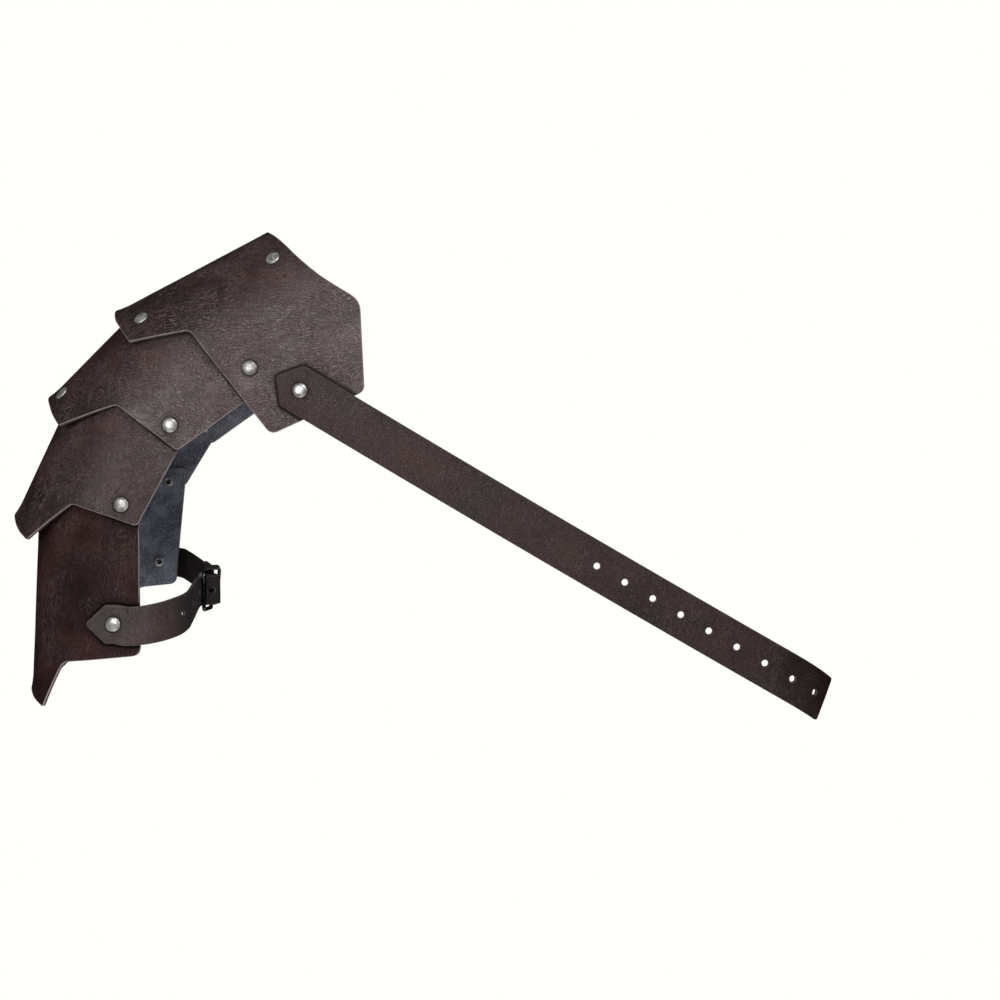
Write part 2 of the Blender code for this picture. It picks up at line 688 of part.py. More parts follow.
def make_arm_holes(strap, route, place, middle):
    """Punches the arm strap: a row of holes, and the one that the prong has opened."""
    centre, run, _, out = route.frame(middle)
    prong = Spot(centre + out * (BAR_RADIUS + CLEAR + PRONG_RADIUS), run)
    punch(strap, "arm_strap_pierced", [prong], PRONG_RADIUS + CLEAR, BUCKLE_LENGTH - 4 * BAR_RADIUS)
    first = middle + PIERCED_PAST_MIDDLE
    rows = range(1, ARM_HOLES_BEFORE + 1)
    holes = [strap_spot(place, first - ARM_HOLE_PITCH * row) for row in rows]
    punch(strap, "arm_strap_punched", holes, ARM_HOLE_RADIUS, 4 * STRAP, PUNCHED_SIDES)


def make_buckle_strap(route, rear_bar, rear_end):
    """Short strap from the rear rivet to the buckle, folded round its bar and back."""
    aside = BAR_RADIUS + CLEAR + STRAP / 2
    turn_length = pi * aside
    inner_length = rear_end + ARM_POINT - ARM_SHOULDER - rear_bar
    closed = -aside + STRAP + CLEAR
    half = BUCKLE_STRAP_WIDTH / 2

    def place(length, across, height):
        if length <= inner_length:
            centre, _, up, out = route.frame(rear_bar + inner_length - length)
            return centre + up * across + out * (-aside - height)
        if length <= inner_length + turn_length:
            centre, run, up, out = route.frame(rear_bar)
            angle = (length - inner_length) / aside
            radius = aside + height
            return centre + up * across - out * (radius * cos(angle)) - run * (radius * sin(angle))
        at = rear_bar + length - inner_length - turn_length
        centre, _, up, out = route.frame(at)
        shut = eased(at, rear_bar + BAR_RADIUS, rear_bar + FOLD_CLOSE)
        return centre + up * across + out * (aside - shut * (aside - closed) + height)

    total = inner_length + turn_length + FOLD_RETURN
    outline = rounded([
        (0.0, -half, ROUND), (total, -half, CRISP), (total, half, CRISP), (0.0, half, ROUND)])
    folds = [inner_length - (fold - rear_bar) for fold in route.folds(rear_bar, rear_end)]
    for step in range(FOLD_STEPS + 1):
        folds.append(inner_length + turn_length * step / FOLD_STEPS)
    for step in range(1, FOLD_STEPS):
        folds.append(inner_length + turn_length + FOLD_RETURN * step / FOLD_STEPS)
    strap = bent_piece("buckle_strap", outline, STRAP, cross_folds(folds), place)
    finish_leather(strap, STRAP_LEATHER)
    fold_rivet = rear_bar + FOLD_RETURN - FOLD_RIVET_IN
    centre, _, _, out = route.frame(fold_rivet)
    middle = Spot(centre + out * (closed - (STRAP + CLEAR) / 2), out)
    at_plate = Spot(place(ARM_POINT - ARM_SHOULDER, 0.0, 0.0), route.frame(rear_end)[3])
    punch(strap, "buckle_strap_holes", [middle, at_plate], SHANK_RADIUS + CLEAR, 4 * STRAP)
    cut_slot(strap, route, rear_bar, aside)
    make_rivet("rivet_fold", Spot(centre + out * (closed + STRAP / 2), out), 2 * STRAP + CLEAR)
    return strap


def cut_slot(strap, route, rear_bar, aside):
    """Slot in the fold that the prong swings in."""
    centre, run, up, out = route.frame(rear_bar)
    slot = bmesh.new()
    size = 2 * aside + 3 * STRAP
    turn = Matrix((run, up, out)).transposed().to_4x4()
    grow = Matrix.Diagonal((size, SLOT_WIDTH, size, 1.0))
    bmesh.ops.create_cube(slot, size=1.0, matrix=Matrix.Translation(centre) @ turn @ grow)
    mesh = bpy.data.meshes.new("buckle_strap_slot")
    slot.to_mesh(mesh)
    slot.free()
    cut_with(strap, mesh)


def make_tube(name, points, radius, cyclic, colour):
    """A round bar along a line of points."""
    curve = bpy.data.curves.new(name, "CURVE")
    curve.dimensions = "3D"
    curve.bevel_depth = radius
    curve.bevel_resolution = 1
    curve.use_fill_caps = True
    curve.render_resolution_u = 0
    line = curve.splines.new("POLY")
    line.points.add(len(points) - 1)
    for place, point in zip(line.points, points):
        place.co = (*point, 1.0)
    line.use_cyclic_u = cyclic
    bar = add_object(name, curve)
    if not cyclic:
        weld = bar.modifiers.new("weld", "WELD")
        weld.merge_threshold = 1e-6
    curve.materials.append(material(name, colour, 0.35, 1.0))
    return bar


def make_buckle(route, middle):
    """Frame, prong and keeper of the arm strap."""
    centre, run, up, out = route.frame(middle)
    half_long = BUCKLE_LENGTH / 2
    half_wide = BUCKLE_INSIDE / 2 + BAR_RADIUS
    corners = [
        (-half_long, -half_wide, BUCKLE_CORNER), (half_long, -half_wide, BUCKLE_CORNER),
        (half_long, half_wide, BUCKLE_CORNER), (-half_long, half_wide, BUCKLE_CORNER)]
    ring = [centre + run * point.x + up * point.y for point in rounded(corners)]
    make_tube("buckle_frame", ring, BAR_RADIUS, True, GUNMETAL)
    eye = BAR_RADIUS + CLEAR + PRONG_RADIUS
    sweep = radians(PRONG_CURL)
    points = []
    for step in range(PRONG_STEPS + 1):
        angle = radians(90.0) - sweep + sweep * step / PRONG_STEPS
        lift = out * (eye * sin(angle))
        points.append(centre + run * (half_long + eye * cos(angle)) + lift)
    points.append(centre - run * half_long + out * eye)
    points.append(centre - run * (half_long + PRONG_OVER) + out * (eye - PRONG_DROP))
    make_tube("buckle_prong", points, PRONG_RADIUS, False, GUNMETAL)


def make_keeper(route, rear_bar):
    """Leather loop that holds the loose end down."""
    middle = rear_bar + KEEPER_BACK
    centre, run, up, out = route.frame(middle)
    aside = BAR_RADIUS + CLEAR + STRAP / 2
    low = -aside - STRAP / 2 - KEEPER_ROOM
    high = -aside + 2 * (STRAP + CLEAR) + STRAP / 2 + KEEPER_ROOM
    half = BUCKLE_STRAP_WIDTH / 2 + KEEPER_ROOM
    wall = KEEPER_THICKNESS
    outer = bmesh.new()
    turn = Matrix((run, up, out)).transposed().to_4x4()
    seat = Matrix.Translation(centre + out * (low + high) / 2) @ turn
    grow = Matrix.Diagonal((KEEPER_WIDTH, 2 * (half + wall), high - low + 2 * wall, 1.0))
    bmesh.ops.create_cube(outer, size=1.0, matrix=seat @ grow)
    mesh = bpy.data.meshes.new("keeper_loop")
    outer.to_mesh(mesh)
    outer.free()
    keeper = add_object("keeper_loop", mesh)
    finish_leather(keeper, STRAP_LEATHER)
    hollow = bmesh.new()
    grow = Matrix.Diagonal((2 * KEEPER_WIDTH, 2 * half, high - low, 1.0))
    bmesh.ops.create_cube(hollow, size=1.0, matrix=seat @ grow)
    mesh = bpy.data.meshes.new("keeper_hollow")
    hollow.to_mesh(mesh)
    hollow.free()
    cut_with(keeper, mesh)


def make_arm_loop(arch):
    """The arm strap, its buckle and the short strap behind it, on the lowest plate."""
    lift = CLEAR + STRAP / 2
    front = arch_spot(arch, *plate_place(arch, ARM_RIVET_AT, "front"), lift)
    rear = arch_spot(arch, *plate_place(arch, BUCKLE_RIVET_AT, "rear"), lift)
    reach_x = front.point.x + LOOP_REACH
    route = make_route(front, rear, reach_x)
    middle = route.buckle
    half_long = BUCKLE_LENGTH / 2 * route.frame(middle)[1].to_2d().length
    rear_bar = middle + half_long
    front_bar = middle - half_long
    rear_end = route.rear_rivet
    strap, place = make_arm_strap(route, rear_bar, front_bar)
    make_arm_holes(strap, route, place, middle)
    make_buckle_strap(route, rear_bar, rear_end)
    make_buckle(route, middle)
    make_keeper(route, rear_bar)
    for name, spot in (("rivet_arm_strap", front), ("rivet_buckle_strap", rear)):
        top = Spot(spot.point + spot.normal * STRAP / 2, spot.normal)
        make_rivet(name, top, PLATE + CLEAR + STRAP)
    return [
        arch_spot(arch, *plate_place(arch, ARM_RIVET_AT, "front")),
        arch_spot(arch, *plate_place(arch, BUCKLE_RIVET_AT, "rear"))]


def main():
    """Builds the pauldron."""
    clear_scene()
    arches = make_arches()
    drilled = [[], [], [], []]
    for rivet in RIVETS:
        arch = arches[rivet.plate]
        lengths = plate_place(arch, (rivet.along, rivet.around), rivet.side)
        spot = arch_spot(arch, *lengths)
        grip = rivet.through * PLATE + (rivet.through - 1) * NEST_GAP
        make_rivet(rivet.name, spot, grip)
        for index in range(rivet.plate, rivet.plate + rivet.through):
            drilled[index].append(spot)
    drilled[0].append(make_chest_strap(arches[0]))
    drilled[3] += make_arm_loop(arches[3])
    tables = ((FRONT_1, REAR_1), (FRONT_2, REAR_2), (FRONT_3, REAR_3), (FRONT_4, REAR_4))
    for index, (front, rear) in enumerate(tables):
        upper = arches[index - 1] if index else None
        holes = holes_in(arches[index], drilled[index])
        make_plate(index + 1, arches[index], upper, front, rear, holes)


main()
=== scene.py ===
"""Looks of a leather pauldron: dark riveted plates, a chest strap and a buckled arm strap."""

from collections import namedtuple
from math import atan, cos, hypot, pi, radians, sin, tan

import bmesh
import bpy
import numpy as np
from mathutils import Matrix, Vector, noise
from mathutils.kdtree import KDTree


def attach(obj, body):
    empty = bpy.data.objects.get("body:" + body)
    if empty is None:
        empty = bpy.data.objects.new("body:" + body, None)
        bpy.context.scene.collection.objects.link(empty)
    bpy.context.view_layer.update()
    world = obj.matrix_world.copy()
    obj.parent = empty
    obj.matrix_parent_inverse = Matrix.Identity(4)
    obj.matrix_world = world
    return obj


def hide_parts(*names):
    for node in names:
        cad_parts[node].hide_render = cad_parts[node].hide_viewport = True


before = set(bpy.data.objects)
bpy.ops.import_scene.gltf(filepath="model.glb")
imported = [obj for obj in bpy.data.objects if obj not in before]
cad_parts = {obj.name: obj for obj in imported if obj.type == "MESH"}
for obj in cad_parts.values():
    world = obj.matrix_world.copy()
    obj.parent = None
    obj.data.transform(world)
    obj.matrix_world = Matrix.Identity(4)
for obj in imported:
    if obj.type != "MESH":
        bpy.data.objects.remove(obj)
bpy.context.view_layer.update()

# Leather
PLATE = 0.0024  # thickness of a plate
NEST_GAP = 0.0004  # air between nested plates
CLEAR = 0.0003  # air between any two other pieces
STRAP = 0.0020  # thickness of the arm straps
CHEST = 0.0022  # thickness of the chest strap

# Arches
CREST_RADIUS = 0.070  # outer radius of the top plate's arch

# Plates: slope below level in degrees, length of the crest, reach down the front and the back
Plate = namedtuple("Plate", "slope crest front rear")
PLATE_1 = Plate(slope=28.0, crest=0.120, front=0.172, rear=0.152)
PLATE_2 = Plate(slope=45.5, crest=0.081, front=0.138, rear=0.124)
PLATE_3 = Plate(slope=65.0, crest=0.098, front=0.129, rear=0.116)
PLATE_4 = Plate(slope=88.0, crest=0.133, front=0.122, rear=0.112)

# Where the plates' axes cross, each measured along the upper plate
SEAT_IN = 0.045  # neck edge to the seat on the shoulder
SEAT_TO_SECOND = 0.0452  # seat to the crossing of plates 1 and 2
SECOND_TO_THIRD = 0.0411
THIRD_TO_FOURTH = 0.0529

# Corner radii of the plates
TIP = 0.0020
CRISP = 0.0035
ROUND = 0.0060
EAR = 0.0080
SOFT = 0.0120
SWEEP = 0.0900  # hollow of the neck edge

# Rivets
CAP_RADIUS = 0.0048
CAP_HEIGHT = 0.0017
SHANK_RADIUS = 0.0019
RING_RADIUS = 0.0036
RING_HEIGHT = 0.0013
DIMPLE_RADIUS = 0.0014

# Chest strap
CHEST_WIDTH = 0.0295
CHEST_LENGTH = 0.396  # rivet to the loose end
CHEST_POINT = 0.018  # rivet to the pointed end
CHEST_SHOULDER = 0.006  # rivet to where the point begins
CHEST_FALL = 31.0  # degrees below level at the rivet
CHEST_BOW = 1.4  # degrees that the strap straightens by over its length
CURL_LENGTH = 0.049  # end of the strap that curls backwards
CURL_LEAN = 12.0  # degrees that the line it curls about leans from upright
CURL_RADIUS = 0.055
CHEST_HOLES = 9
CHEST_HOLE_START = 0.2185
CHEST_HOLE_PITCH = 0.0205
CHEST_HOLE_RADIUS = 0.0021

# Arm strap
ARM_WIDTH = 0.0250  # at the rivet
ARM_END_WIDTH = 0.0200  # from the buckle on
ARM_TAPER_FROM = 0.045  # rivet to where the strap begins to narrow
ARM_POINT = 0.0186
ARM_SHOULDER = 0.0052
ARM_TAIL = 0.0185  # past the buckle's rear bar
ARM_HOLE_RADIUS = 0.0014
ARM_HOLE_PITCH = 0.018
ARM_HOLES_BEFORE = 3
PIERCED_PAST_MIDDLE = 0.0027  # middle of the buckle to the hole in use
LOOP_REACH = 0.0450  # front rivet to the inner side of the arm, towards the neck
LOOP_FRONT_RADIUS = 0.027
LOOP_SIDE_RADIUS = 0.030
LOOP_REAR_RADIUS = 0.010
LOOP_SIDE_DEPTH = 0.024  # where the loop leaves its straight side, behind the crest
LOOP_REAR_IN = 0.031  # loop's rear corner, back from its straight side
LOOP_LEVEL = 0.010  # past the front rivet, before the loop climbs to the buckle
LOOP_DIP = 0.0014  # sag of the level stretch
LOOP_LEAVES = 0.05  # slope with which the loop begins its climb
LOOP_TURN = 0.040  # middle of the buckle, past the end of the loop's front turn
LOOP_TURN_RISE = 0.0085  # end of the front turn, above the front rivet
LOOP_TURN_SLOPE = 0.27
LOOP_BACK = 0.034  # from the middle of the buckle to where the climb eases
LOOP_BACK_RISE = 0.0240  # of that place, above the front rivet
LOOP_BACK_SLOPE = 0.25

# Buckle
BAR_RADIUS = 0.0014
BAR_ASIDE = BAR_RADIUS + CLEAR + STRAP / 2  # middle of a bar to the middle of a strap against it
BUCKLE_STRAP_WIDTH = 0.0215
BUCKLE_INSIDE = 0.0224  # opening across the strap
BUCKLE_CORNER = 0.0022  # bend of the bar's middle line
BUCKLE_LENGTH = 0.0210  # middle of the front bar to the middle of the rear bar
BUCKLE_DEPTH = 0.002  # middle of the buckle, behind the crest
BUCKLE_RISE = 0.0170  # middle of the buckle, above the front rivet
PRONG_RADIUS = 0.0011
PRONG_CURL = 290.0  # degrees that the prong wraps round the rear bar
PRONG_OVER = 0.0017  # from the front bar's middle to the prong's end
PRONG_DROP = 0.0004  # of the prong's end
PRONG_BENDS = 40  # of its curl
SLOT_WIDTH = 0.0040
FOLD_RETURN = 0.031  # length of the strap folded back past the rear bar
FOLD_RIVET_IN = 0.0065  # rivet to the end of the fold
FOLD_CLOSE = 0.010  # length over which the fold closes behind the bar
KEEPER_WIDTH = 0.0060
KEEPER_THICKNESS = 0.0014
KEEPER_BACK = 0.0142  # rear bar to the keeper
KEEPER_ROOM = 0.0008  # between the keeper and the straps in it
KEEPER_BEND = 0.6  # outer corner radius, as a share of the keeper's thickness

# Outlines: `along` as a share of the crest, `around` as a share of the reach, corner radius.
# Each runs from the crest's upper edge, down the front or the back, to the crest's lower end.
FRONT_1 = [
    (0.035, 0.00, 0), (0.035, 0.14, SWEEP), (-0.065, 0.437, SWEEP), (-0.125, 0.558, SWEEP),
    (-0.255, 0.712, SOFT), (-0.05, 1.017, ROUND), (0.495, 0.998, ROUND), (0.62, 0.51, ROUND),
    (0.942, 0.428, TIP), (0.985, 0.27, SOFT), (1.00, 0.09, SOFT), (1.005, 0.00, 0)]
REAR_1 = [
    (0.035, 0.00, 0), (0.035, 0.15, SWEEP), (-0.01, 0.46, SWEEP), (-0.05, 0.60, SWEEP),
    (-0.08, 0.74, SOFT), (0.06, 1.0, ROUND), (0.52, 0.98, ROUND), (0.63, 0.57, ROUND),
    (0.94, 0.47, TIP), (0.985, 0.30, SOFT), (1.00, 0.10, SOFT), (1.005, 0.00, 0)]
FRONT_2 = [
    (-0.02, 0.00, 0), (-0.02, 0.50, ROUND), (-0.40, 0.60, EAR), (-0.49, 0.86, EAR), (-0.49, 1.09, EAR),
    (0.478, 0.998, CRISP), (0.556, 0.645, ROUND), (1.014, 0.493, TIP), (1.002, 0.33, SOFT),
    (0.998, 0.17, SOFT), (1.0, 0.00, 0)]
REAR_2 = [
    (-0.02, 0.00, 0), (-0.02, 0.555, ROUND), (-0.38, 0.67, EAR), (-0.42, 0.88, EAR), (-0.42, 1.10, EAR),
    (0.464, 0.998, CRISP), (0.54, 0.69, ROUND), (0.99, 0.50, TIP), (1.0, 0.33, SOFT),
    (1.0, 0.17, SOFT), (1.0, 0.00, 0)]
FRONT_3 = [
    (-0.015, 0.00, 0), (-0.015, 0.48, ROUND), (-0.11, 0.60, ROUND), (-0.15, 0.83, ROUND),
    (-0.15, 1.03, ROUND), (0.647, 0.998, CRISP), (0.694, 0.653, ROUND), (1.05, 0.488, TIP),
    (1.035, 0.40, SOFT), (0.997, 0.257, SOFT), (0.985, 0.00, 0)]
REAR_3 = [
    (-0.015, 0.00, 0), (-0.015, 0.54, ROUND), (-0.11, 0.68, ROUND), (-0.14, 0.90, ROUND),
    (-0.14, 1.045, ROUND), (0.394, 0.995, CRISP), (0.52, 0.72, ROUND), (0.97, 0.50, TIP),
    (0.99, 0.37, SOFT), (0.99, 0.20, SOFT), (0.985, 0.00, 0)]
FRONT_4 = [
    (-0.01, 0.00, 0), (-0.01, 0.97, ROUND), (0.165, 0.97, SOFT), (0.777, 1.004, ROUND),
    (0.802, 0.79, SOFT), (0.826, 0.579, EAR), (1.06, 0.425, TIP), (1.03, 0.30, SOFT),
    (1.006, 0.215, SOFT), (1.0, 0.00, 0)]
REAR_4 = [
    (-0.01, 0.00, 0), (-0.01, 0.48, ROUND), (-0.14, 0.69, ROUND), (-0.153, 1.04, CRISP),
    (0.494, 0.996, ROUND), (0.52, 0.77, SOFT), (0.60, 0.62, SOFT), (0.88, 0.36, SOFT),
    (0.98, 0.18, SOFT), (1.0, 0.00, 0)]

# Pairs of rivets through the plates: the plate that their caps lie on, their places on its
# front and its back in the same shares as the outlines, and how many plates they go through.
Pair = namedtuple("Pair", "name plate front rear through")
RIVET_PAIRS = [
    Pair("neck", 0, (0.055, 0.393), (0.055, 0.445), 1),
    Pair("crest_1", 0, (0.841, 0.339), (0.841, 0.384), 1),
    Pair("crest_2", 1, (0.857, 0.303), (0.857, 0.337), 1),
    Pair("joint_12", 0, (0.428, 0.743), (0.475, 0.770), 2),
    Pair("joint_23", 1, (0.374, 0.891), (0.400, 0.905), 2),
    Pair("joint_34", 2, (0.563, 0.881), (0.421, 0.896), 2),
]
CHEST_RIVET_AT = (0.247, 0.906)  # on the front of plate 1
ARM_RIVET_AT = (0.629, 0.858)  # on the front of plate 4
BUCKLE_RIVET_AT = (0.373, 0.885)  # on the back of plate 4

Arch = namedtuple("Arch", "foot along out radius size")
Spot = namedtuple("Spot", "point normal")
ALONG = Vector((1.0, 0.0, 0.0))  # a pattern's two directions
ACROSS = Vector((0.0, 1.0, 0.0))
TURN_POINTS = 18  # round a full turn of a plate's corners
STRAP_POINTS = 36  # of a strap's
BAR_POINTS = 48  # of the buckle's
WELD = 1e-6  # points closer than this are one


# Patterns and how they bend

def rounded(corners, steps_per_turn=TURN_POINTS):
    """Points of a closed outline whose corners, given as x, y and radius, are rounded."""
    points = []
    count = len(corners)
    for index, (x, y, radius) in enumerate(corners):
        here = Vector((x, y))
        back = Vector(corners[index - 1][:2]) - here
        ahead = Vector(corners[(index + 1) % count][:2]) - here
        turn = pi - back.angle(ahead)
        if radius == 0 or turn < radians(1.0):
            points.append(here)
            continue
        setback = min(radius * tan(turn / 2), 0.49 * back.length, 0.49 * ahead.length)
        start = here + back.normalized() * setback
        end = here + ahead.normalized() * setback
        pieces = max(2, round(turn / (2 * pi) * steps_per_turn) + 1)
        for step in range(pieces + 1):
            share = step / pieces
            pull = (1 - share) ** 2, 2 * share * (1 - share), share ** 2
            points.append(start * pull[0] + here * pull[1] + end * pull[2])
    return points


def make_arches():
    """The arch of each plate: a point on its axis, its directions, its outer radius and sizes."""
    sizes = (PLATE_1, PLATE_2, PLATE_3, PLATE_4)
    steps = (SEAT_TO_SECOND, SECOND_TO_THIRD, THIRD_TO_FOURTH, 0.0)
    arches = []
    foot = None
    for index, (size, step) in enumerate(zip(sizes, steps)):
        slope = radians(size.slope)
        along = Vector((-cos(slope), 0.0, -sin(slope)))
        out = Vector((-sin(slope), 0.0, cos(slope)))
        radius = CREST_RADIUS - index * (PLATE + NEST_GAP)
        if foot is None:
            seat = -out * (radius - PLATE)
            arches.append(Arch(seat - along * SEAT_IN, along, out, radius, size))
            foot = seat + along * step
        else:
            arches.append(Arch(foot, along, out, radius, size))
            foot = foot + along * step
    return arches


def on_arch(arch, along, around, height):
    """World place of a pattern point, `height` above the plate's outer face."""
    side = 1.0 if around >= 0 else -1.0
    length = abs(around)
    quarter = arch.radius * pi / 2
    angle = min(length, quarter) / arch.radius
    below = max(length - quarter, 0.0)
    radius = arch.radius + height
    rise = radius * cos(angle) - below
    forward = Vector((0.0, -side * radius * sin(angle), 0.0))
    return arch.foot + arch.along * along + arch.out * rise + forward


def arch_spot(arch, along, around, height=0.0):
    """A spot on a plate, with the direction that its leather faces."""
    low = on_arch(arch, along, around, height)
    high = on_arch(arch, along, around, height + PLATE)
    return Spot(low, (high - low).normalized())


def plate_place(arch, shares, side):
    """Pattern lengths of a place given in shares of a plate's sizes."""
    reach = arch.size.front if side == "front" else -arch.size.rear
    return shares[0] * arch.size.crest, shares[1] * reach


def plate_outline(arch, front, rear):
    """Rounded outline of a plate from its front and rear tables."""
    corners = []
    for along, around, radius in front:
        corners.append((along * arch.size.crest, around * arch.size.front, radius))
    for along, around, radius in reversed(rear[1:-1]):
        corners.append((along * arch.size.crest, -around * arch.size.rear, radius))
    return rounded(corners)


def tucked(point, upper, height):
    """Presses a point of a plate against the inside of the plate above it, where they meet."""
    if upper is None:
        return point
    rise = (point - upper.foot).dot(upper.out)
    room = upper.radius - PLATE - NEST_GAP + height
    reach = hypot(rise, point.y)
    if rise <= 0.0 or reach <= room:
        return point
    pressed = point + upper.out * (rise * (room / reach - 1))
    pressed.y = point.y * room / reach
    return pressed


def chest_place(spot):
    """How the chest strap's pattern lies: a slight bow in its plane, and a curl at its end."""
    bow = CHEST_LENGTH / radians(CHEST_BOW)
    first = radians(CHEST_FALL)

    def flat(length, across):
        heading = first - length / bow
        run = bow * (sin(first) - sin(heading)) + across * sin(heading)
        rise = bow * (cos(first) - cos(heading)) + across * cos(heading)
        return run, rise

    lean = radians(CURL_LEAN)

    def turned(run, rise, side):
        return run * cos(lean) - side * rise * sin(lean), rise * cos(lean) + side * run * sin(lean)

    curl_from = turned(*flat(CHEST_LENGTH - CURL_LENGTH, 0.0), 1)[0]

    def place(length, across, height):
        run, rise = turned(*flat(length, across), 1)
        turn = max(run - curl_from, 0.0) / CURL_RADIUS
        reach = min(run, curl_from) + (CURL_RADIUS + height) * sin(turn)
        back = CURL_RADIUS - (CURL_RADIUS + height) * cos(turn)
        run, rise = turned(reach, rise, -1)
        return spot.point + Vector((run, back, rise))

    return place


class Route:
    """Line of the arm loop seen from above: straight runs joined by arcs, and its rise."""

    def __init__(self, corners, front, rear, buckle):
        self.runs = []
        points = [Vector(corner[:2]) for corner in corners]
        at = points[0]
        length = 0.0
        for index in range(1, len(points)):
            heading = (points[index] - points[index - 1]).normalized()
            setback = 0.0
            if index < len(points) - 1:
                leaving = (points[index + 1] - points[index]).normalized()
                turn = heading.angle(leaving)
                setback = corners[index][2] * tan(turn / 2)
            stop = points[index] - heading * setback
            run = (stop - at).length
            self.runs.append((length, run, at, heading, 0.0))
            length += run
            at = stop
            if setback:
                arc = corners[index][2] * turn
                self.runs.append((length, arc, at, heading, 1.0 / corners[index][2]))
                length += arc
                at = points[index] + leaving * setback
        self.length = length
        self.rear_rivet = self.where(rear.to_2d())
        self.buckle = self.where(buckle)
        self.knots = self.make_knots(front.z, rear.z)

    def where(self, point):
        """Length along the route of the place nearest to a point seen from above."""
        steps = 2000
        lengths = [self.length * step / steps for step in range(steps + 1)]
        return min(lengths, key=lambda length: (self.plan(length)[0] - point).length)

    def plan(self, length):
        """Place and heading seen from above. The loop turns to the left all the way."""
        chosen = self.runs[0]
        for run in self.runs:
            if length >= run[0]:
                chosen = run
        start, _, at, heading, bend = chosen
        gone = length - start
        if bend == 0.0:
            return at + heading * gone, heading
        angle = gone * bend
        side = Vector((-heading.y, heading.x))
        place = at + heading * (sin(angle) / bend) + side * ((1 - cos(angle)) / bend)
        return place, heading * cos(angle) + side * sin(angle)

    def make_knots(self, front_height, rear_height):
        """Length, height and slope where the loop's climb changes."""
        half = BUCKLE_LENGTH / 2 + BAR_RADIUS
        return [
            (ARM_POINT, front_height, 0.0),
            (ARM_POINT + LOOP_LEVEL, front_height - LOOP_DIP, LOOP_LEAVES),
            (self.buckle - LOOP_TURN, front_height + LOOP_TURN_RISE, LOOP_TURN_SLOPE),
            (self.buckle - half, front_height + BUCKLE_RISE, 0.0),
            (self.buckle + half, front_height + BUCKLE_RISE, 0.0),
            (self.buckle + LOOP_BACK, front_height + LOOP_BACK_RISE, LOOP_BACK_SLOPE),
            (self.rear_rivet, rear_height, 0.0)]

    def height(self, length):
        """Height of the strap's middle line, on a smooth curve through the knots."""
        start, low, slope = self.knots[0]
        for end, high, next_slope in self.knots[1:]:
            if length < end:
                break
            start, low, slope = end, high, next_slope
        gone = length - start
        if gone <= 0 or start == end:
            return low + gone * slope
        run = end - start
        share = gone / run
        bend = slope * (1 - share) - next_slope * share
        return low + (high - low) * eased(share, 0.0, 1.0) + run * share * (1 - share) * bend

    def frame(self, length):
        """Place, heading, width direction and outward direction at a length."""
        place, heading = self.plan(length)
        step = 1e-4
        slope = atan((self.height(length + step) - self.height(length - step)) / (2 * step))
        run = Vector((heading.x * cos(slope), heading.y * cos(slope), sin(slope)))
        out = Vector((heading.y, -heading.x, 0.0))
        up = out.cross(run)
        return Vector((place.x, place.y, self.height(length))), run, up, out


def eased(value, start, end):
    """Zero before the start, one after the end, and a smooth step between."""
    share = min(max((value - start) / (end - start), 0.0), 1.0)
    return share * share * (3 - 2 * share)


def make_route(front, rear, reach_x):
    """Line of the loop through the middle of the buckle, from the front rivet to the rear one."""
    front_y = front.point.y - BAR_ASIDE
    rear_y = rear.point.y + BAR_ASIDE
    corners = [
        (front.point.x - ARM_POINT, front_y, 0.0),
        (reach_x, front_y, LOOP_FRONT_RADIUS),
        (reach_x, LOOP_SIDE_DEPTH, LOOP_SIDE_RADIUS),
        (reach_x - LOOP_REAR_IN, rear_y, LOOP_REAR_RADIUS),
        (rear.point.x - ARM_POINT, rear_y, 0.0),
    ]
    return Route(corners, front.point, rear.point, Vector((reach_x, BUCKLE_DEPTH)))


# Cutting leather

EDGE_ROUND = 0.0005  # rounding of a cut edge
BORDERS = (0.0006, 0.0016)  # widths of the bands inside a cut edge
SCORE = 0.0024  # between the lines that a plate is scored along
STRAP_SCORE = 0.0020
DIMPLE = 0.0003  # depth that a cap presses the leather in by
DIMPLE_REACH = 0.0062
EDGE_STEP = 0.0005  # between the points that an edge is measured by
CAP_FOOT = 0.0036  # radius of the part of a cap that the painted shadow round it is measured from
LAP_REACH = 0.008  # how far the painted shadow reaches from the edge of an overlapping piece
CURL = 0.0011  # height that the free edge of a plate has curled up by
CURL_REACH = 0.012
CURL_FROM = 0.20  # shares of the crest between which the curl sets in
CURL_FULL = 0.50
HELD = 0.020  # round each rivet, where the edge stays down
SWELL = 0.00016  # uneven thickness of the leather
SWELL_SCALE = 38.0
CHEST_SWELL = 7.0  # where in the swell each strap is cut from; a plate's is its number
ARM_SWELL = 9.0
HOLE_POINTS = 24  # round a punched hole


def circle(x, y, radius):
    """Points of a hole in a pattern."""
    turns = [2 * pi * (step + 0.5) / HOLE_POINTS for step in range(HOLE_POINTS)]
    return [Vector((x + radius * cos(turn), y + radius * sin(turn))) for turn in turns]


def linked(name, data):
    """A new object in the scene."""
    item = bpy.data.objects.new(name, data)
    bpy.context.scene.collection.objects.link(item)
    return item


def add_line(curve, points, cyclic):
    """Adds a line through points to a curve."""
    line = curve.splines.new("POLY")
    line.points.add(len(points) - 1)
    for place, point in zip(line.points, points):
        place.co = (*point.to_3d(), 1.0)
    line.use_cyclic_u = cyclic


def solid_of(curve):
    """The closed solid that a curve shows, as a BMesh."""
    holder = linked(curve.name, curve)
    seen = holder.evaluated_get(bpy.context.evaluated_depsgraph_get())
    mesh = bpy.data.meshes.new_from_object(seen)
    bpy.data.objects.remove(holder, do_unlink=True)
    solid = bmesh.new()
    solid.from_mesh(mesh)
    bpy.data.meshes.remove(mesh)
    bmesh.ops.remove_doubles(solid, verts=solid.verts, dist=WELD)
    return solid


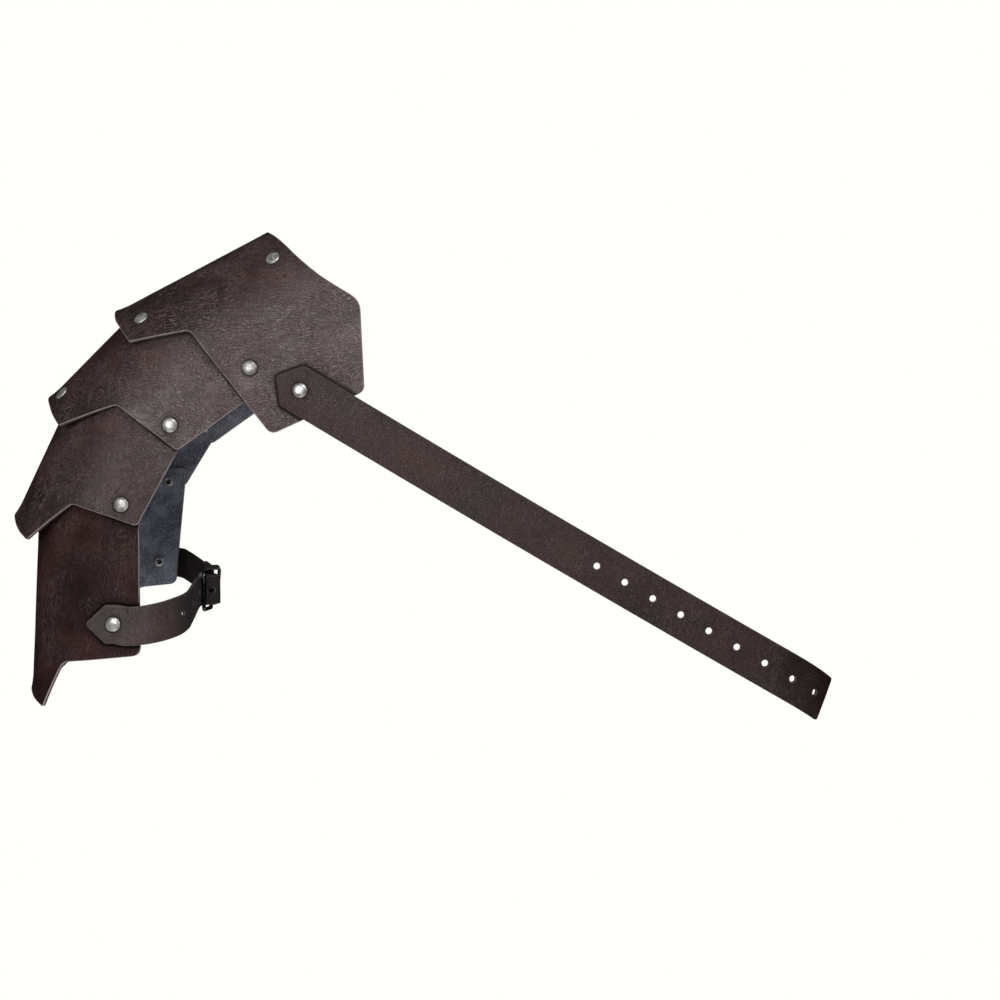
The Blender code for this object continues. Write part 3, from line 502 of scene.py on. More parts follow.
def smooth_object(name, solid):
    """Puts a finished BMesh in the scene, smoothly shaded."""
    for face in solid.faces:
        face.smooth = True
    mesh = bpy.data.meshes.new(name)
    solid.to_mesh(mesh)
    solid.free()
    return linked(name, mesh)


def flat_pattern(name, loops, thickness):
    """Flat leather inside the first loop and outside the others, its cut edges rounded."""
    curve = bpy.data.curves.new(name, "CURVE")
    curve.dimensions = "2D"
    curve.fill_mode = "BOTH"
    curve.extrude = thickness / 2 - EDGE_ROUND
    curve.bevel_depth = EDGE_ROUND
    curve.bevel_resolution = 2
    curve.offset = -EDGE_ROUND
    for loop in loops:
        add_line(curve, loop, True)
    flat = solid_of(curve)
    crossings = sorted(sum(point[0] for point in loop) / len(loop) for loop in loops[1:])
    merge_sides(flat, crossings, thickness)
    sides = [face for face in flat.faces if on_side(face, thickness)]
    for border in BORDERS:
        bmesh.ops.inset_region(
            flat, faces=sides, thickness=border, use_boundary=True, use_even_offset=True)
    return flat


def on_side(face, thickness):
    """Whether a face of a flat pattern lies on its grain side or its flesh side."""
    return all(abs(abs(corner.co.z) - thickness / 2) < WELD for corner in face.verts)


def merge_sides(flat, crossings, thickness):
    """Joins the faces of each side into one for every stretch between the holes."""
    for crossing in crossings:
        bmesh.ops.bisect_plane(
            flat, geom=flat.verts[:] + flat.edges[:] + flat.faces[:], dist=WELD,
            plane_co=ALONG * crossing, plane_no=ALONG)
    stretches = {}
    for face in flat.faces:
        if on_side(face, thickness):
            middle = face.calc_center_median()
            key = middle.z > 0, sum(middle.x > crossing for crossing in crossings)
            stretches.setdefault(key, []).append(face)
    for faces in stretches.values():
        bmesh.ops.dissolve_faces(flat, faces=faces, use_verts=True)


def score(flat, direction, distances):
    """Cuts lines across a pattern, so that it can bend along them."""
    rest = flat.verts[:] + flat.edges[:] + flat.faces[:]
    for distance in sorted(distances):
        cut = bmesh.ops.bisect_plane(
            flat, geom=rest, dist=WELD, plane_co=direction * distance, plane_no=direction)
        rest = [piece for piece in cut["geom"] if beyond(piece, direction, distance + WELD)]


def beyond(piece, direction, distance):
    """Whether any of a piece of mesh lies past a line."""
    if isinstance(piece, bmesh.types.BMVert):
        return piece.co.dot(direction) > distance
    return any(corner.co.dot(direction) > distance for corner in piece.verts)


def edge_distances(points, loops):
    """How far each flat point lies from the nearest cut edge."""
    nearest = np.full(len(points), 1.0)
    for loop in loops:
        starts = np.array([tuple(point) for point in loop])
        for start, end in zip(starts, np.roll(starts, -1, axis=0)):
            run = end - start
            share = np.clip((points - start) @ run / max(run @ run, 1e-12), 0, 1)
            aside = points - start - share[:, None] * run
            nearest = np.minimum(nearest, np.hypot(aside[:, 0], aside[:, 1]))
    return nearest


def edge_line(outline, place, height):
    """Closely spaced world points along the edge of a piece, once it is in place."""
    line = []
    for start, end in zip(outline, outline[1:] + outline[:1]):
        start = Vector(start[:2])
        run = Vector(end[:2]) - start
        count = max(1, round(run.length / EDGE_STEP))
        for step in range(count):
            x, y = start + run * (step / count)
            line.append(place(x, y, height, 0.0))
    return line


def tree_of(points):
    """The points, ready to be searched for the nearest one."""
    tree = KDTree(len(points))
    for index, point in enumerate(points):
        tree.insert(point, index)
    tree.balance()
    return tree


def cut_leather(name, loops, thickness, scores, place, over=()):
    """One piece of leather: cut, scored, marked with its pattern and bent into place.

    The points of `over` are the edges of what lies on it; the painted shadow on this piece is measured
    from them.
    """
    flat = flat_pattern(name, loops, thickness)
    for direction, distances in scores:
        score(flat, direction, distances)
    wide = [face for face in flat.faces if len(face.verts) > 4]
    bmesh.ops.triangulate(flat, faces=wide)
    marks = flat.verts.layers.float_vector.new("pattern")
    rims = flat.verts.layers.float.new("rim")
    laps = flat.verts.layers.float.new("lap")
    tree = tree_of(over)
    points = np.array([tuple(corner.co.xy) for corner in flat.verts])
    for corner, rim in zip(flat.verts, edge_distances(points, loops)):
        corner[marks] = corner.co
        corner[rims] = rim
        corner.co = place(*corner.co, rim)
        if over:
            # How near each point lies to what lies on it, for the painted shadow there.
            corner[laps] = max(0.0, 1 - tree.find(corner.co)[2] / LAP_REACH)
    bmesh.ops.recalc_face_normals(flat, faces=flat.faces[:])
    return shown(name, flat)


def shown(name, solid):
    """Puts a finished piece in the scene and rides it on the part."""
    piece = smooth_object(name, solid)
    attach(piece, "root")
    return piece


def stand_for(piece, node, finish):
    """Shows a detailed piece in place of a plain solid."""
    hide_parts(node)
    piece.data.materials.append(finish)


def stations(low, high, spacing):
    """Evenly spaced lines between two limits."""
    count = max(1, round((high - low) / spacing))
    return [low + (high - low) * step / count for step in range(1, count)]


# Plates

def uneven(x, y, seed):
    """Slow rise and fall of hand-cut leather."""
    return SWELL * noise.noise(Vector((x * SWELL_SCALE, y * SWELL_SCALE, seed)))


def pressed(x, y, caps):
    """How far the caps press the leather in at a place of its pattern."""
    depth = 0.0
    for cap_x, cap_y in caps:
        away = hypot(x - cap_x, y - cap_y) / DIMPLE_REACH
        depth += DIMPLE * max(0.0, 1 - away * away) ** 2
    return depth


def curled(x, y, rim, crest, caps):
    """How far the free edge of a plate has curled up, away from its rivets."""
    nearest = min((hypot(x - cap_x, y - cap_y) for cap_x, cap_y in caps), default=HELD)
    free = eased(x / crest, CURL_FROM, CURL_FULL) * eased(nearest, CAP_RADIUS, HELD)
    return CURL * free * max(0.0, 1 - rim / CURL_REACH) ** 2


def show_plate(number, arch, upper, front, rear, caps, over, finish):
    """One arched plate in full detail; tells where the lower side of its edge runs."""
    outline = plate_outline(arch, front, rear)
    quarter = arch.radius * pi / 2
    xs = [point[0] for point in outline]
    ys = [point[1] for point in outline]
    around = stations(min(ys), max(ys), SCORE) + [-quarter, quarter]

    def place(x, y, height, rim):
        lift = height - PLATE / 2 + uneven(x, y, number) - pressed(x, y, caps)
        lift += curled(x, y, rim, arch.size.crest, caps)
        return tucked(on_arch(arch, x, y, lift), upper, height - PLATE / 2)

    scores = [(ALONG, stations(min(xs), max(xs), SCORE)), (ACROSS, around)]
    for cap_x, cap_y in caps:
        over = over + edge_line(circle(cap_x, cap_y, CAP_FOOT), place, PLATE / 2)
    plate = cut_leather(f"plate_{number}_leather", [outline], PLATE, scores, place, over)
    stand_for(plate, f"plate_{number}", finish)
    return edge_line(outline, place, -PLATE / 2)


# Rivets

CAP_STEPS = 9
CAP_SWEEP = 84.0  # degrees of the dome
CAP_FULLNESS = 0.92  # powers under one make the dome fuller than a ball
CAP_FLATNESS = 0.85
RIVET_TURNS = 40

# Sections of a rivet: radius and height in shares of the part's own, and how dark it is there, with
# tarnish and painted shade under the cap's rim and in the ring
CAP_RIM = [(1.0, 0.10, 0.3), (0.985, -0.02, 0.8), (0.93, -0.08, 1.0)]
RING_FACE = [
    (1.0, -0.20, 0.2), (0.97, -0.55, 0.0), (0.86, -0.88, 0.0), (0.70, -1.0, 0.0), (0.55, -0.92, 0.1)]
RING_DIMPLE = [(1.08, -0.70, 0.5), (0.96, -0.40, 1.0), (0.90, 0.25, 1.0), (0.0, 0.35, 1.0)]


def section(rows, radius, base, height):
    """Rows of a rivet's section at their real size, above a base."""
    return [(share * radius, base + rise * height, dark) for share, rise, dark in rows]


def rivet_profile(grip):
    """Half section of a rivet, as radius, height and how dark its hollow is, with tarnish and painted
    shade.
    """
    under = -(grip + 2 * CLEAR)
    points = []
    for step in range(CAP_STEPS + 1):
        angle = radians(CAP_SWEEP) * step / CAP_STEPS
        radius = CAP_RADIUS * sin(angle) ** CAP_FULLNESS
        points.append((radius, CAP_HEIGHT * cos(angle) ** CAP_FLATNESS, 0.0))
    points += section(CAP_RIM, CAP_RADIUS, 0.0, CAP_HEIGHT)
    points += [
        (SHANK_RADIUS, -0.05 * CAP_HEIGHT, 1.0), (SHANK_RADIUS, under + 0.0002, 1.0),
        (0.93 * RING_RADIUS, under + 0.0001, 0.8)]
    points += section(RING_FACE, RING_RADIUS, under, RING_HEIGHT)
    points += section(RING_DIMPLE, DIMPLE_RADIUS, under, RING_HEIGHT)
    return points


def show_rivet(name, spot, grip, finish):
    """A domed rivet with its ring, spun from half a section and set on its spot."""
    solid = bmesh.new()
    hollows = solid.verts.layers.float.new("hollow")
    line = []
    for radius, height, hollow in rivet_profile(grip):
        corner = solid.verts.new((radius, 0.0, height))
        corner[hollows] = hollow
        line.append(corner)
    edges = [solid.edges.new(pair) for pair in zip(line, line[1:])]
    bmesh.ops.spin(
        solid, geom=line + edges, cent=(0, 0, 0), axis=(0, 0, 1), angle=2 * pi,
        steps=RIVET_TURNS, use_merge=True)
    bmesh.ops.remove_doubles(solid, verts=solid.verts, dist=WELD)
    bmesh.ops.recalc_face_normals(solid, faces=solid.faces[:])
    turn = spot.normal.to_track_quat("Z", "Y").to_matrix().to_4x4()
    place = Matrix.Translation(spot.point + spot.normal * CLEAR / 2) @ turn
    bmesh.ops.transform(solid, matrix=place, verts=solid.verts)
    stand_for(shown(name + "_metal", solid), name, finish)


# Straps

def strap_scores(start, end, half, spacing):
    """The lines that a strap is scored along, so that it can bend."""
    return [
        (ALONG, stations(start, end, spacing)), (ACROSS, stations(-half, half, 2 * STRAP_SCORE))]


def show_chest_strap(arch, hide, metal):
    """The chest strap, its punched holes and its rivet."""
    seat = arch_spot(arch, *plate_place(arch, CHEST_RIVET_AT, "front"), CLEAR + CHEST / 2)
    half = CHEST_WIDTH / 2
    outline = rounded([
        (-CHEST_POINT, 0.0, CRISP), (-CHEST_SHOULDER, -half, CRISP), (CHEST_LENGTH, -half, TIP),
        (CHEST_LENGTH, half, TIP), (-CHEST_SHOULDER, half, CRISP)], STRAP_POINTS)
    punched = [CHEST_HOLE_START + CHEST_HOLE_PITCH * row for row in range(CHEST_HOLES)]
    holes = [circle(length, 0.0, CHEST_HOLE_RADIUS) for length in punched]
    bend = chest_place(seat)

    def place(x, y, height, _):
        return bend(x, y, height + uneven(x, y, CHEST_SWELL) - pressed(x, y, [(0.0, 0.0)]))

    scores = strap_scores(-CHEST_POINT, CHEST_LENGTH, half, STRAP_SCORE)
    round_cap = edge_line(circle(0.0, 0.0, CAP_FOOT), place, CHEST / 2)
    strap = cut_leather("chest_strap_leather", [outline, *holes], CHEST, scores, place, round_cap)
    stand_for(strap, "chest_strap", hide)
    top = Spot(seat.point + seat.normal * CHEST / 2, seat.normal)
    show_rivet("rivet_chest_strap", top, PLATE + CLEAR + CHEST, metal)
    return edge_line(outline, place, -CHEST / 2)


def show_arm_strap(route, rear_bar, front_bar, middle, finish):
    """The strap from the front rivet through the buckle to its loose end."""
    over = BAR_ASIDE + STRAP + CLEAR
    end = rear_bar + ARM_TAIL
    closed = -BAR_ASIDE + 2 * (STRAP + CLEAR)

    def place(length, across, height, _):
        up = eased(length, front_bar + BAR_RADIUS, rear_bar - BAR_RADIUS) * (BAR_ASIDE + over)
        down = eased(length, rear_bar + BAR_RADIUS, rear_bar + FOLD_CLOSE) * (over - closed)
        centre, _, rise, out = route.frame(length)
        lift = height + uneven(length, across, ARM_SWELL) - pressed(length, across, [(ARM_POINT, 0.0)])
        return centre + rise * across + out * (up - BAR_ASIDE - down + lift)

    half = ARM_WIDTH / 2
    slim = ARM_END_WIDTH / 2
    shoulder = ARM_POINT - ARM_SHOULDER
    outline = rounded([
        (0.0, 0.0, CRISP), (shoulder, -half, CRISP), (ARM_POINT + ARM_TAPER_FROM, -half, SOFT),
        (front_bar, -slim, SOFT), (end - slim, -slim, ROUND), (end, 0.0, CRISP),
        (end - slim, slim, ROUND), (front_bar, slim, SOFT),
        (ARM_POINT + ARM_TAPER_FROM, half, SOFT), (shoulder, half, CRISP)], STRAP_POINTS)
    first = middle + PIERCED_PAST_MIDDLE
    punched = [first - ARM_HOLE_PITCH * row for row in range(ARM_HOLES_BEFORE + 1)]
    holes = [circle(length, 0.0, ARM_HOLE_RADIUS) for length in punched]
    scores = strap_scores(0.0, end, half, STRAP_SCORE / 2)
    round_cap = edge_line(circle(ARM_POINT, 0.0, CAP_FOOT), place, STRAP / 2)
    strap = cut_leather("arm_strap_leather", [outline, *holes], STRAP, scores, place, round_cap)
    stand_for(strap, "arm_strap", finish)
    return edge_line(outline, place, -STRAP / 2)


def show_buckle_strap(route, rear_bar, rear_end, hide, metal):
    """The short strap, folded round the buckle's rear bar and riveted to itself."""
    turn_length = pi * BAR_ASIDE
    inner_length = rear_end + ARM_POINT - ARM_SHOULDER - rear_bar
    closed = -BAR_ASIDE + STRAP + CLEAR
    half = BUCKLE_STRAP_WIDTH / 2

    def place(length, across, height, _):
        if length <= inner_length:
            centre, _, up, out = route.frame(rear_bar + inner_length - length)
            return centre + up * across + out * (-BAR_ASIDE - height)
        if length <= inner_length + turn_length:
            centre, run, up, out = route.frame(rear_bar)
            angle = (length - inner_length) / BAR_ASIDE
            radius = BAR_ASIDE + height
            return centre + up * across - out * (radius * cos(angle)) - run * (radius * sin(angle))
        at = rear_bar + length - inner_length - turn_length
        centre, _, up, out = route.frame(at)
        shut = eased(at, rear_bar + BAR_RADIUS, rear_bar + FOLD_CLOSE)
        return centre + up * across + out * (BAR_ASIDE - shut * (BAR_ASIDE - closed) + height)

    total = inner_length + turn_length + FOLD_RETURN
    outline = rounded([
        (0.0, -half, ROUND), (total, -half, CRISP), (total, half, CRISP),
        (0.0, half, ROUND)], STRAP_POINTS)
    slot_middle = inner_length + turn_length / 2
    reach = turn_length / 2 + STRAP
    wide = SLOT_WIDTH / 2
    slot = rounded([
        (slot_middle - reach, -wide, wide), (slot_middle + reach, -wide, wide),
        (slot_middle + reach, wide, wide), (slot_middle - reach, wide, wide)], STRAP_POINTS)
    scores = strap_scores(0.0, total, half, STRAP_SCORE / 3)
    strap = cut_leather("buckle_strap_leather", [outline, slot], STRAP, scores, place)
    stand_for(strap, "buckle_strap", hide)
    centre, _, _, out = route.frame(rear_bar + FOLD_RETURN - FOLD_RIVET_IN)
    show_rivet("rivet_fold", Spot(centre + out * (closed + STRAP / 2), out), 2 * STRAP + CLEAR, metal)


# Buckle

def show_bar(name, node, points, radius, cyclic, finish):
    """A round bar along a line of points."""
    curve = bpy.data.curves.new(name, "CURVE")
    curve.dimensions = "3D"
    curve.bevel_depth = radius
    curve.bevel_resolution = 4
    curve.use_fill_caps = True
    add_line(curve, points, cyclic)
    solid = solid_of(curve)
    bmesh.ops.recalc_face_normals(solid, faces=solid.faces[:])
    stand_for(shown(name, solid), node, finish)


def show_buckle(route, middle, finish):
    """The frame and its prong."""
    centre, run, up, out = route.frame(middle)
    half_long = BUCKLE_LENGTH / 2
    half_wide = BUCKLE_INSIDE / 2 + BAR_RADIUS
    corners = [
        (-half_long, -half_wide, BUCKLE_CORNER), (half_long, -half_wide, BUCKLE_CORNER),
        (half_long, half_wide, BUCKLE_CORNER), (-half_long, half_wide, BUCKLE_CORNER)]
    ring = [centre + run * point.x + up * point.y for point in rounded(corners, BAR_POINTS)]
    show_bar("buckle_frame_metal", "buckle_frame", ring, BAR_RADIUS, True, finish)
    eye = BAR_RADIUS + CLEAR + PRONG_RADIUS
    sweep = radians(PRONG_CURL)
    points = []
    for step in range(PRONG_BENDS + 1):
        angle = radians(90.0) - sweep + sweep * step / PRONG_BENDS
        points.append(centre + run * (half_long + eye * cos(angle)) + out * (eye * sin(angle)))
    points.append(centre - run * half_long + out * eye)
    points.append(centre - run * (half_long + PRONG_OVER) + out * (eye - PRONG_DROP))
    show_bar("buckle_prong_metal", "buckle_prong", points, PRONG_RADIUS, False, finish)


def show_keeper(route, rear_bar, finish):
    """The leather loop that holds the loose end down, with rounded corners and edges."""
    centre, run, up, out = route.frame(rear_bar + KEEPER_BACK)
    low = -BAR_ASIDE - STRAP / 2 - KEEPER_ROOM
    high = -BAR_ASIDE + 2 * (STRAP + CLEAR) + STRAP / 2 + KEEPER_ROOM
    half = BUCKLE_STRAP_WIDTH / 2 + KEEPER_ROOM
    wall = KEEPER_THICKNESS
    solid = bmesh.new()
    turn = Matrix((run, up, out)).transposed().to_4x4()
    grow = Matrix.Diagonal((KEEPER_WIDTH, 2 * half, high - low, 1.0))
    bmesh.ops.create_cube(solid, size=1.0, matrix=grow)
    ends = [face for face in solid.faces if abs(face.normal.x) > 0.9]
    bmesh.ops.delete(solid, geom=ends, context="FACES_ONLY")
    corners = [edge for edge in solid.edges if len(edge.link_faces) == 2]
    bmesh.ops.bevel(
        solid, geom=corners, offset=wall * KEEPER_BEND, segments=5, profile=0.5, affect="EDGES",
        material=-1)
    bmesh.ops.recalc_face_normals(solid, faces=solid.faces[:])
    bmesh.ops.solidify(solid, geom=solid.faces[:], thickness=-wall)
    bmesh.ops.recalc_face_normals(solid, faces=solid.faces[:])
    rim = [edge for edge in solid.edges if edge.calc_face_angle(0.0) > radians(60)]
    bmesh.ops.bevel(
        solid, geom=rim, offset=EDGE_ROUND / 2, segments=3, profile=0.5, affect="EDGES", material=-1)
    marks = solid.verts.layers.float_vector.new("pattern")
    rims = solid.verts.layers.float.new("rim")
    for corner in solid.verts:
        corner[marks] = corner.co
        corner[marks].z = STRAP / 2
        corner[rims] = KEEPER_WIDTH / 2 - abs(corner.co.x)
    seat = Matrix.Translation(centre + out * (low + high) / 2) @ turn
    bmesh.ops.transform(solid, matrix=seat, verts=solid.verts)
    stand_for(shown("keeper_leather", solid), "keeper_loop", finish)


def show_arm_loop(arch, hide, black_hide, rivet_metal, buckle_metal):
    """The arm strap, its buckle and the short strap behind it; tells where its edge runs."""
    lift = CLEAR + STRAP / 2
    front = arch_spot(arch, *plate_place(arch, ARM_RIVET_AT, "front"), lift)
    rear = arch_spot(arch, *plate_place(arch, BUCKLE_RIVET_AT, "rear"), lift)
    reach_x = front.point.x + LOOP_REACH
    route = make_route(front, rear, reach_x)
    middle = route.buckle
    half_long = BUCKLE_LENGTH / 2 * route.frame(middle)[1].to_2d().length
    rear_bar = middle + half_long
    front_bar = middle - half_long
    edge = show_arm_strap(route, rear_bar, front_bar, middle, hide)
    show_buckle_strap(route, rear_bar, route.rear_rivet, black_hide, rivet_metal)
    show_buckle(route, middle, buckle_metal)
    show_keeper(route, rear_bar, black_hide)
    for name, spot in (("rivet_arm_strap", front), ("rivet_buckle_strap", rear)):
        top = Spot(spot.point + spot.normal * STRAP / 2, spot.normal)
        show_rivet(name, top, PLATE + CLEAR + STRAP, rivet_metal)
    return edge


# Colours

BROWN = (0.0110, 0.0066, 0.0068)
RED_BROWN = (0.040, 0.0150, 0.0122)
TAN = (0.12, 0.075, 0.065)
# Pale tan painted on the wrinkles' ridges as their highlight
CREASE_HIGHLIGHT = (0.30, 0.225, 0.215)
SOOT = (0.010, 0.007, 0.007)
RIM_SHADE = (0.022, 0.014, 0.017)
# Pale line along the cut edges: wear, and a painted highlight
RIM_WORN_HIGHLIGHT = (0.42, 0.36, 0.35)
HIDE_SHEEN = (1.0, 0.87, 0.88)
FLESH_DARK = (0.105, 0.112, 0.137)
FLESH = (0.235, 0.250, 0.297)
FLESH_FIBRE = (0.62, 0.64, 0.72)
CORE_DARK = (0.020, 0.014, 0.013)
CORE_PALE = (0.38, 0.33, 0.32)
STRAP_BROWN = (0.0140, 0.0085, 0.0080)
STRAP_WARM = (0.034, 0.0155, 0.0125)
BLACK = (0.006, 0.005, 0.005)
BLACK_WARM = (0.012, 0.008, 0.007)
BLACK_WORN = (0.035, 0.030, 0.029)
SILVER = (0.66, 0.65, 0.64)
SILVER_DULL = (0.26, 0.25, 0.24)
GUNMETAL = (0.10, 0.10, 0.105)
GUNMETAL_DULL = (0.03, 0.03, 0.032)
# Tarnish and painted shade in a rivet's hollows
TARNISH_AND_SHADE = (0.012, 0.011, 0.010)
WHITE = (1.0, 1.0, 1.0)
PAPER = (1.0, 1.0, 0.966)


# Finishes

# Each hide: its base, warm and tan tones, the strength of its shine, the angle and depth of its
# creases, which also set how strongly their ridges are painted with highlight, where it is cut from,
# the length from which it is darkened to black with painted shade, how far its flesh side is dyed,
# and how pale its cut edges are, in their core and in their line of wear and painted highlight.
Hide = namedtuple("Hide", "name thickness tones shine angle creases seed black_from dyed pale")
PLATE_TONES = (BROWN, RED_BROWN, TAN)
STRAP_TONES = (STRAP_BROWN, STRAP_WARM, TAN)
BLACK_TONES = (BLACK, BLACK_WARM, BLACK_WORN)
NOWHERE = 1.0  # a length that no piece has
HIDES = [
    Hide("plate_1_hide", PLATE, PLATE_TONES, 1.00, 28.0, 0.28, 1.0, NOWHERE, 0.0, 1.0),
    Hide("plate_2_hide", PLATE, PLATE_TONES, 0.98, 75.0, 0.29, 2.0, NOWHERE, 0.0, 1.0),
    Hide("plate_3_hide", PLATE, PLATE_TONES, 0.62, 20.0, 0.29, 3.0, NOWHERE, 0.0, 1.0),
    Hide("plate_4_hide", PLATE, PLATE_TONES, 0.03, 5.0, 0.15, 4.0, NOWHERE, 0.0, 1.0),
    Hide("strap_hide", STRAP, STRAP_TONES, 0.30, 80.0, 0.12, 6.0, NOWHERE, 0.0, 0.2),
    Hide("arm_strap_hide", STRAP, STRAP_TONES, 0.52, 80.0, 0.08, 7.0, 0.052, 0.0, 0.2),
    Hide("black_strap_hide", STRAP, BLACK_TONES, 0.20, 80.0, 0.08, 8.0, NOWHERE, 0.9, 0.1),
]

# Three sets of wrinkles that cross: turn from the hide's angle, length, width, step in the seed
Wrinkles = namedtuple("Wrinkles", "turn length width step")
WRINKLES = [
    Wrinkles(0.0, 0.009, 0.0015, 0.0),
    Wrinkles(34.0, 0.006, 0.0013, 5.0),
    Wrinkles(-28.0, 0.007, 0.0016, 9.0),
]
CROSSING = 0.6  # strength of the second and third sets

# Scales of the patterns, in features a metre; the last four have one for each direction
PATCHES = 30.0
CLOUDS = 18.0
NAP = 60.0
MOTTLE = 300.0
GRAIN = 700.0
PORES = 1500.0
STREAKS = (22.0, 85.0, 1.0)
FIBRES = (500.0, 1500.0, 1.0)
PLIES = (260.0, 260.0, 3200.0)
BRUSHING = (250.0, 2600.0, 2600.0)

RIM_SHADED = 0.012  # width of the darker band along a cut edge
RIM_START = 0.0001  # from a cut edge to where its pale line, of wear and painted highlight, begins to fade
RIM_END = 0.0007
FADE = 0.02  # length over which painted shade turns a strap black
RELIEF = 0.001  # height that relief is a share of


class Signal:
    """A shader socket that takes part in sums written as Python expressions."""

    def __init__(self, finish, socket):
        self.finish = finish
        self.socket = socket

    def __add__(self, other):
        return self.finish.maths("ADD", self, other)

    def __sub__(self, other):
        return self.finish.maths("SUBTRACT", self, other)

    def __rsub__(self, other):
        return self.finish.maths("SUBTRACT", other, self)

    def __mul__(self, other):
        return self.finish.maths("MULTIPLY", self, other)

    def __truediv__(self, other):
        return self.finish.maths("DIVIDE", self, other)

    def __abs__(self):
        return self.finish.maths("ABSOLUTE", self)

    __radd__ = __add__
    __rmul__ = __mul__


class Finish:
    """A material whose nodes are added one call at a time."""

    def __init__(self, name, metallic=0.0, specular=0.5, tint=WHITE):
        self.material = bpy.data.materials.new(name)
        self.material.use_nodes = True
        self.tree = self.material.node_tree
        self.shader = self.tree.nodes["Principled BSDF"]
        self.shader.inputs["Metallic"].default_value = metallic
        self.shader.inputs["Specular IOR Level"].default_value = specular
        self.shader.inputs["Specular Tint"].default_value = colour(tint)

    def add(self, kind, settings, values, output=0):
        """Adds a node, with its settings and then what its sockets hold."""
        node = self.tree.nodes.new(kind)
        for name, value in settings.items():
            setattr(node, name, value)
        for name, value in values.items():
            self.feed(node.inputs[name], value)
        return Signal(self, node.outputs[output])

    def feed(self, socket, value):
        """Links a signal to a socket, or sets the socket's own value."""
        if isinstance(value, Signal):
            self.tree.links.new(value.socket, socket)
        else:
            socket.default_value = value

    def maths(self, operation, *values):
        return self.add("ShaderNodeMath", {"operation": operation}, dict(enumerate(values)))

    def vectors(self, operation, first, second):
        return self.add("ShaderNodeVectorMath", {"operation": operation}, {0: first, 1: second})

    def larger(self, first, second):
        return self.maths("MAXIMUM", first, second)

    def mark(self, name, output="Fac"):
        """What the mesh says of each of its points."""
        return self.add("ShaderNodeAttribute", {"attribute_name": name}, {}, output)

    def span(self, value, low, high, to_low=0.0, to_high=1.0):
        """A smooth step between two limits."""
        return self.add(
            "ShaderNodeMapRange", {"interpolation_type": "SMOOTHSTEP"},
            {"Value": value, "From Min": low, "From Max": high, "To Min": to_low, "To Max": to_high})

    def mix(self, share, first, second):
        """A colour between two others."""
        return self.add(
            "ShaderNodeMix", {"data_type": "RGBA"}, {0: share, 6: colour(first), 7: colour(second)}, 2)

    def between(self, share, first, second):
        """A number between two others."""
        return self.add("ShaderNodeMix", {"data_type": "FLOAT"}, {0: share, 2: first, 3: second}, 0)

    def noise(self, where, scale, detail=2.0, roughness=0.5, output=0):
        return self.add(
            "ShaderNodeTexNoise", {},
            {"Vector": where, "Scale": scale, "Detail": detail, "Roughness": roughness}, output)

    def seeded(self, where, seed, scale, roughness):
        """Noise whose fourth dimension makes each seed's pattern another one."""
        return self.add(
            "ShaderNodeTexNoise", {"noise_dimensions": "4D"},
            {"Vector": where, "W": seed, "Scale": scale, "Detail": 2.0, "Roughness": roughness})

    def turned(self, where, angle, scale):
        """A pattern turned in its plane, then stretched."""
        turn = self.add(
            "ShaderNodeMapping", {}, {"Vector": where, "Rotation": (0.0, 0.0, radians(angle))})
        return self.add("ShaderNodeMapping", {}, {"Vector": turn, "Scale": scale})

    def wander(self, where, scale, amount):
        """A pattern shifted about, so that its lines aren't straight."""
        drift = self.noise(where, scale, 1.0, 0.5, 1)
        middle = self.vectors("SUBTRACT", drift, (0.5, 0.5, 0.5))
        shift = self.add(
            "ShaderNodeVectorMath", {"operation": "SCALE"}, {0: middle, "Scale": amount})
        return self.vectors("ADD", where, shift)

    def done(self, base, roughness, height):
        """Links the finished colour, roughness and relief."""
        self.feed(self.shader.inputs["Base Color"], base)
        self.feed(self.shader.inputs["Roughness"], roughness)
        bump = self.add(
            "ShaderNodeBump", {}, {"Height": height, "Distance": RELIEF, "Strength": 1.0})
        self.feed(self.shader.inputs["Normal"], bump)
        return self.material


def colour(value):
    """A colour as a socket takes it."""
    return (*value, 1.0) if isinstance(value, tuple) else value


def creases(finish, pattern, wrinkles, angle, seed):
    """Fine wrinkles that run one way, wavy and broken into patches: their swell, and the lines along
    their ridges, which are raised and painted with highlight.
    """
    wavy = finish.wander(pattern, 110.0, 0.003)
    stretch = (1 / wrinkles.length, 1 / wrinkles.width, 1.0)
    lined = finish.turned(wavy, angle + wrinkles.turn, stretch)
    swell = finish.seeded(lined, seed + wrinkles.step, 1.0, 0.6)
    ridge = 1.0 - abs(swell - 0.5) * 2.0
    patch = finish.seeded(pattern, seed + wrinkles.step, PATCHES, 0.5)
    share = finish.span(patch, 0.38, 0.62)
    return (swell - 0.5) * share, finish.span(ridge, 0.92, 1.0) * share


def flesh_side(finish, pattern):
    """The flesh side's colour, its fibres and its nap."""
    strayed = finish.wander(pattern, 200.0, 0.004)
    fibres = finish.noise(finish.turned(strayed, 60.0, FIBRES), 1.0, 3.0, 0.65)
    nap = finish.noise(pattern, NAP, 3.0, 0.6)
    tone = finish.mix(finish.span(nap, 0.35, 0.70), FLESH_DARK, FLESH)
    return finish.mix(finish.span(fibres, 0.50, 0.70) * 0.6, tone, FLESH_FIBRE), fibres, nap


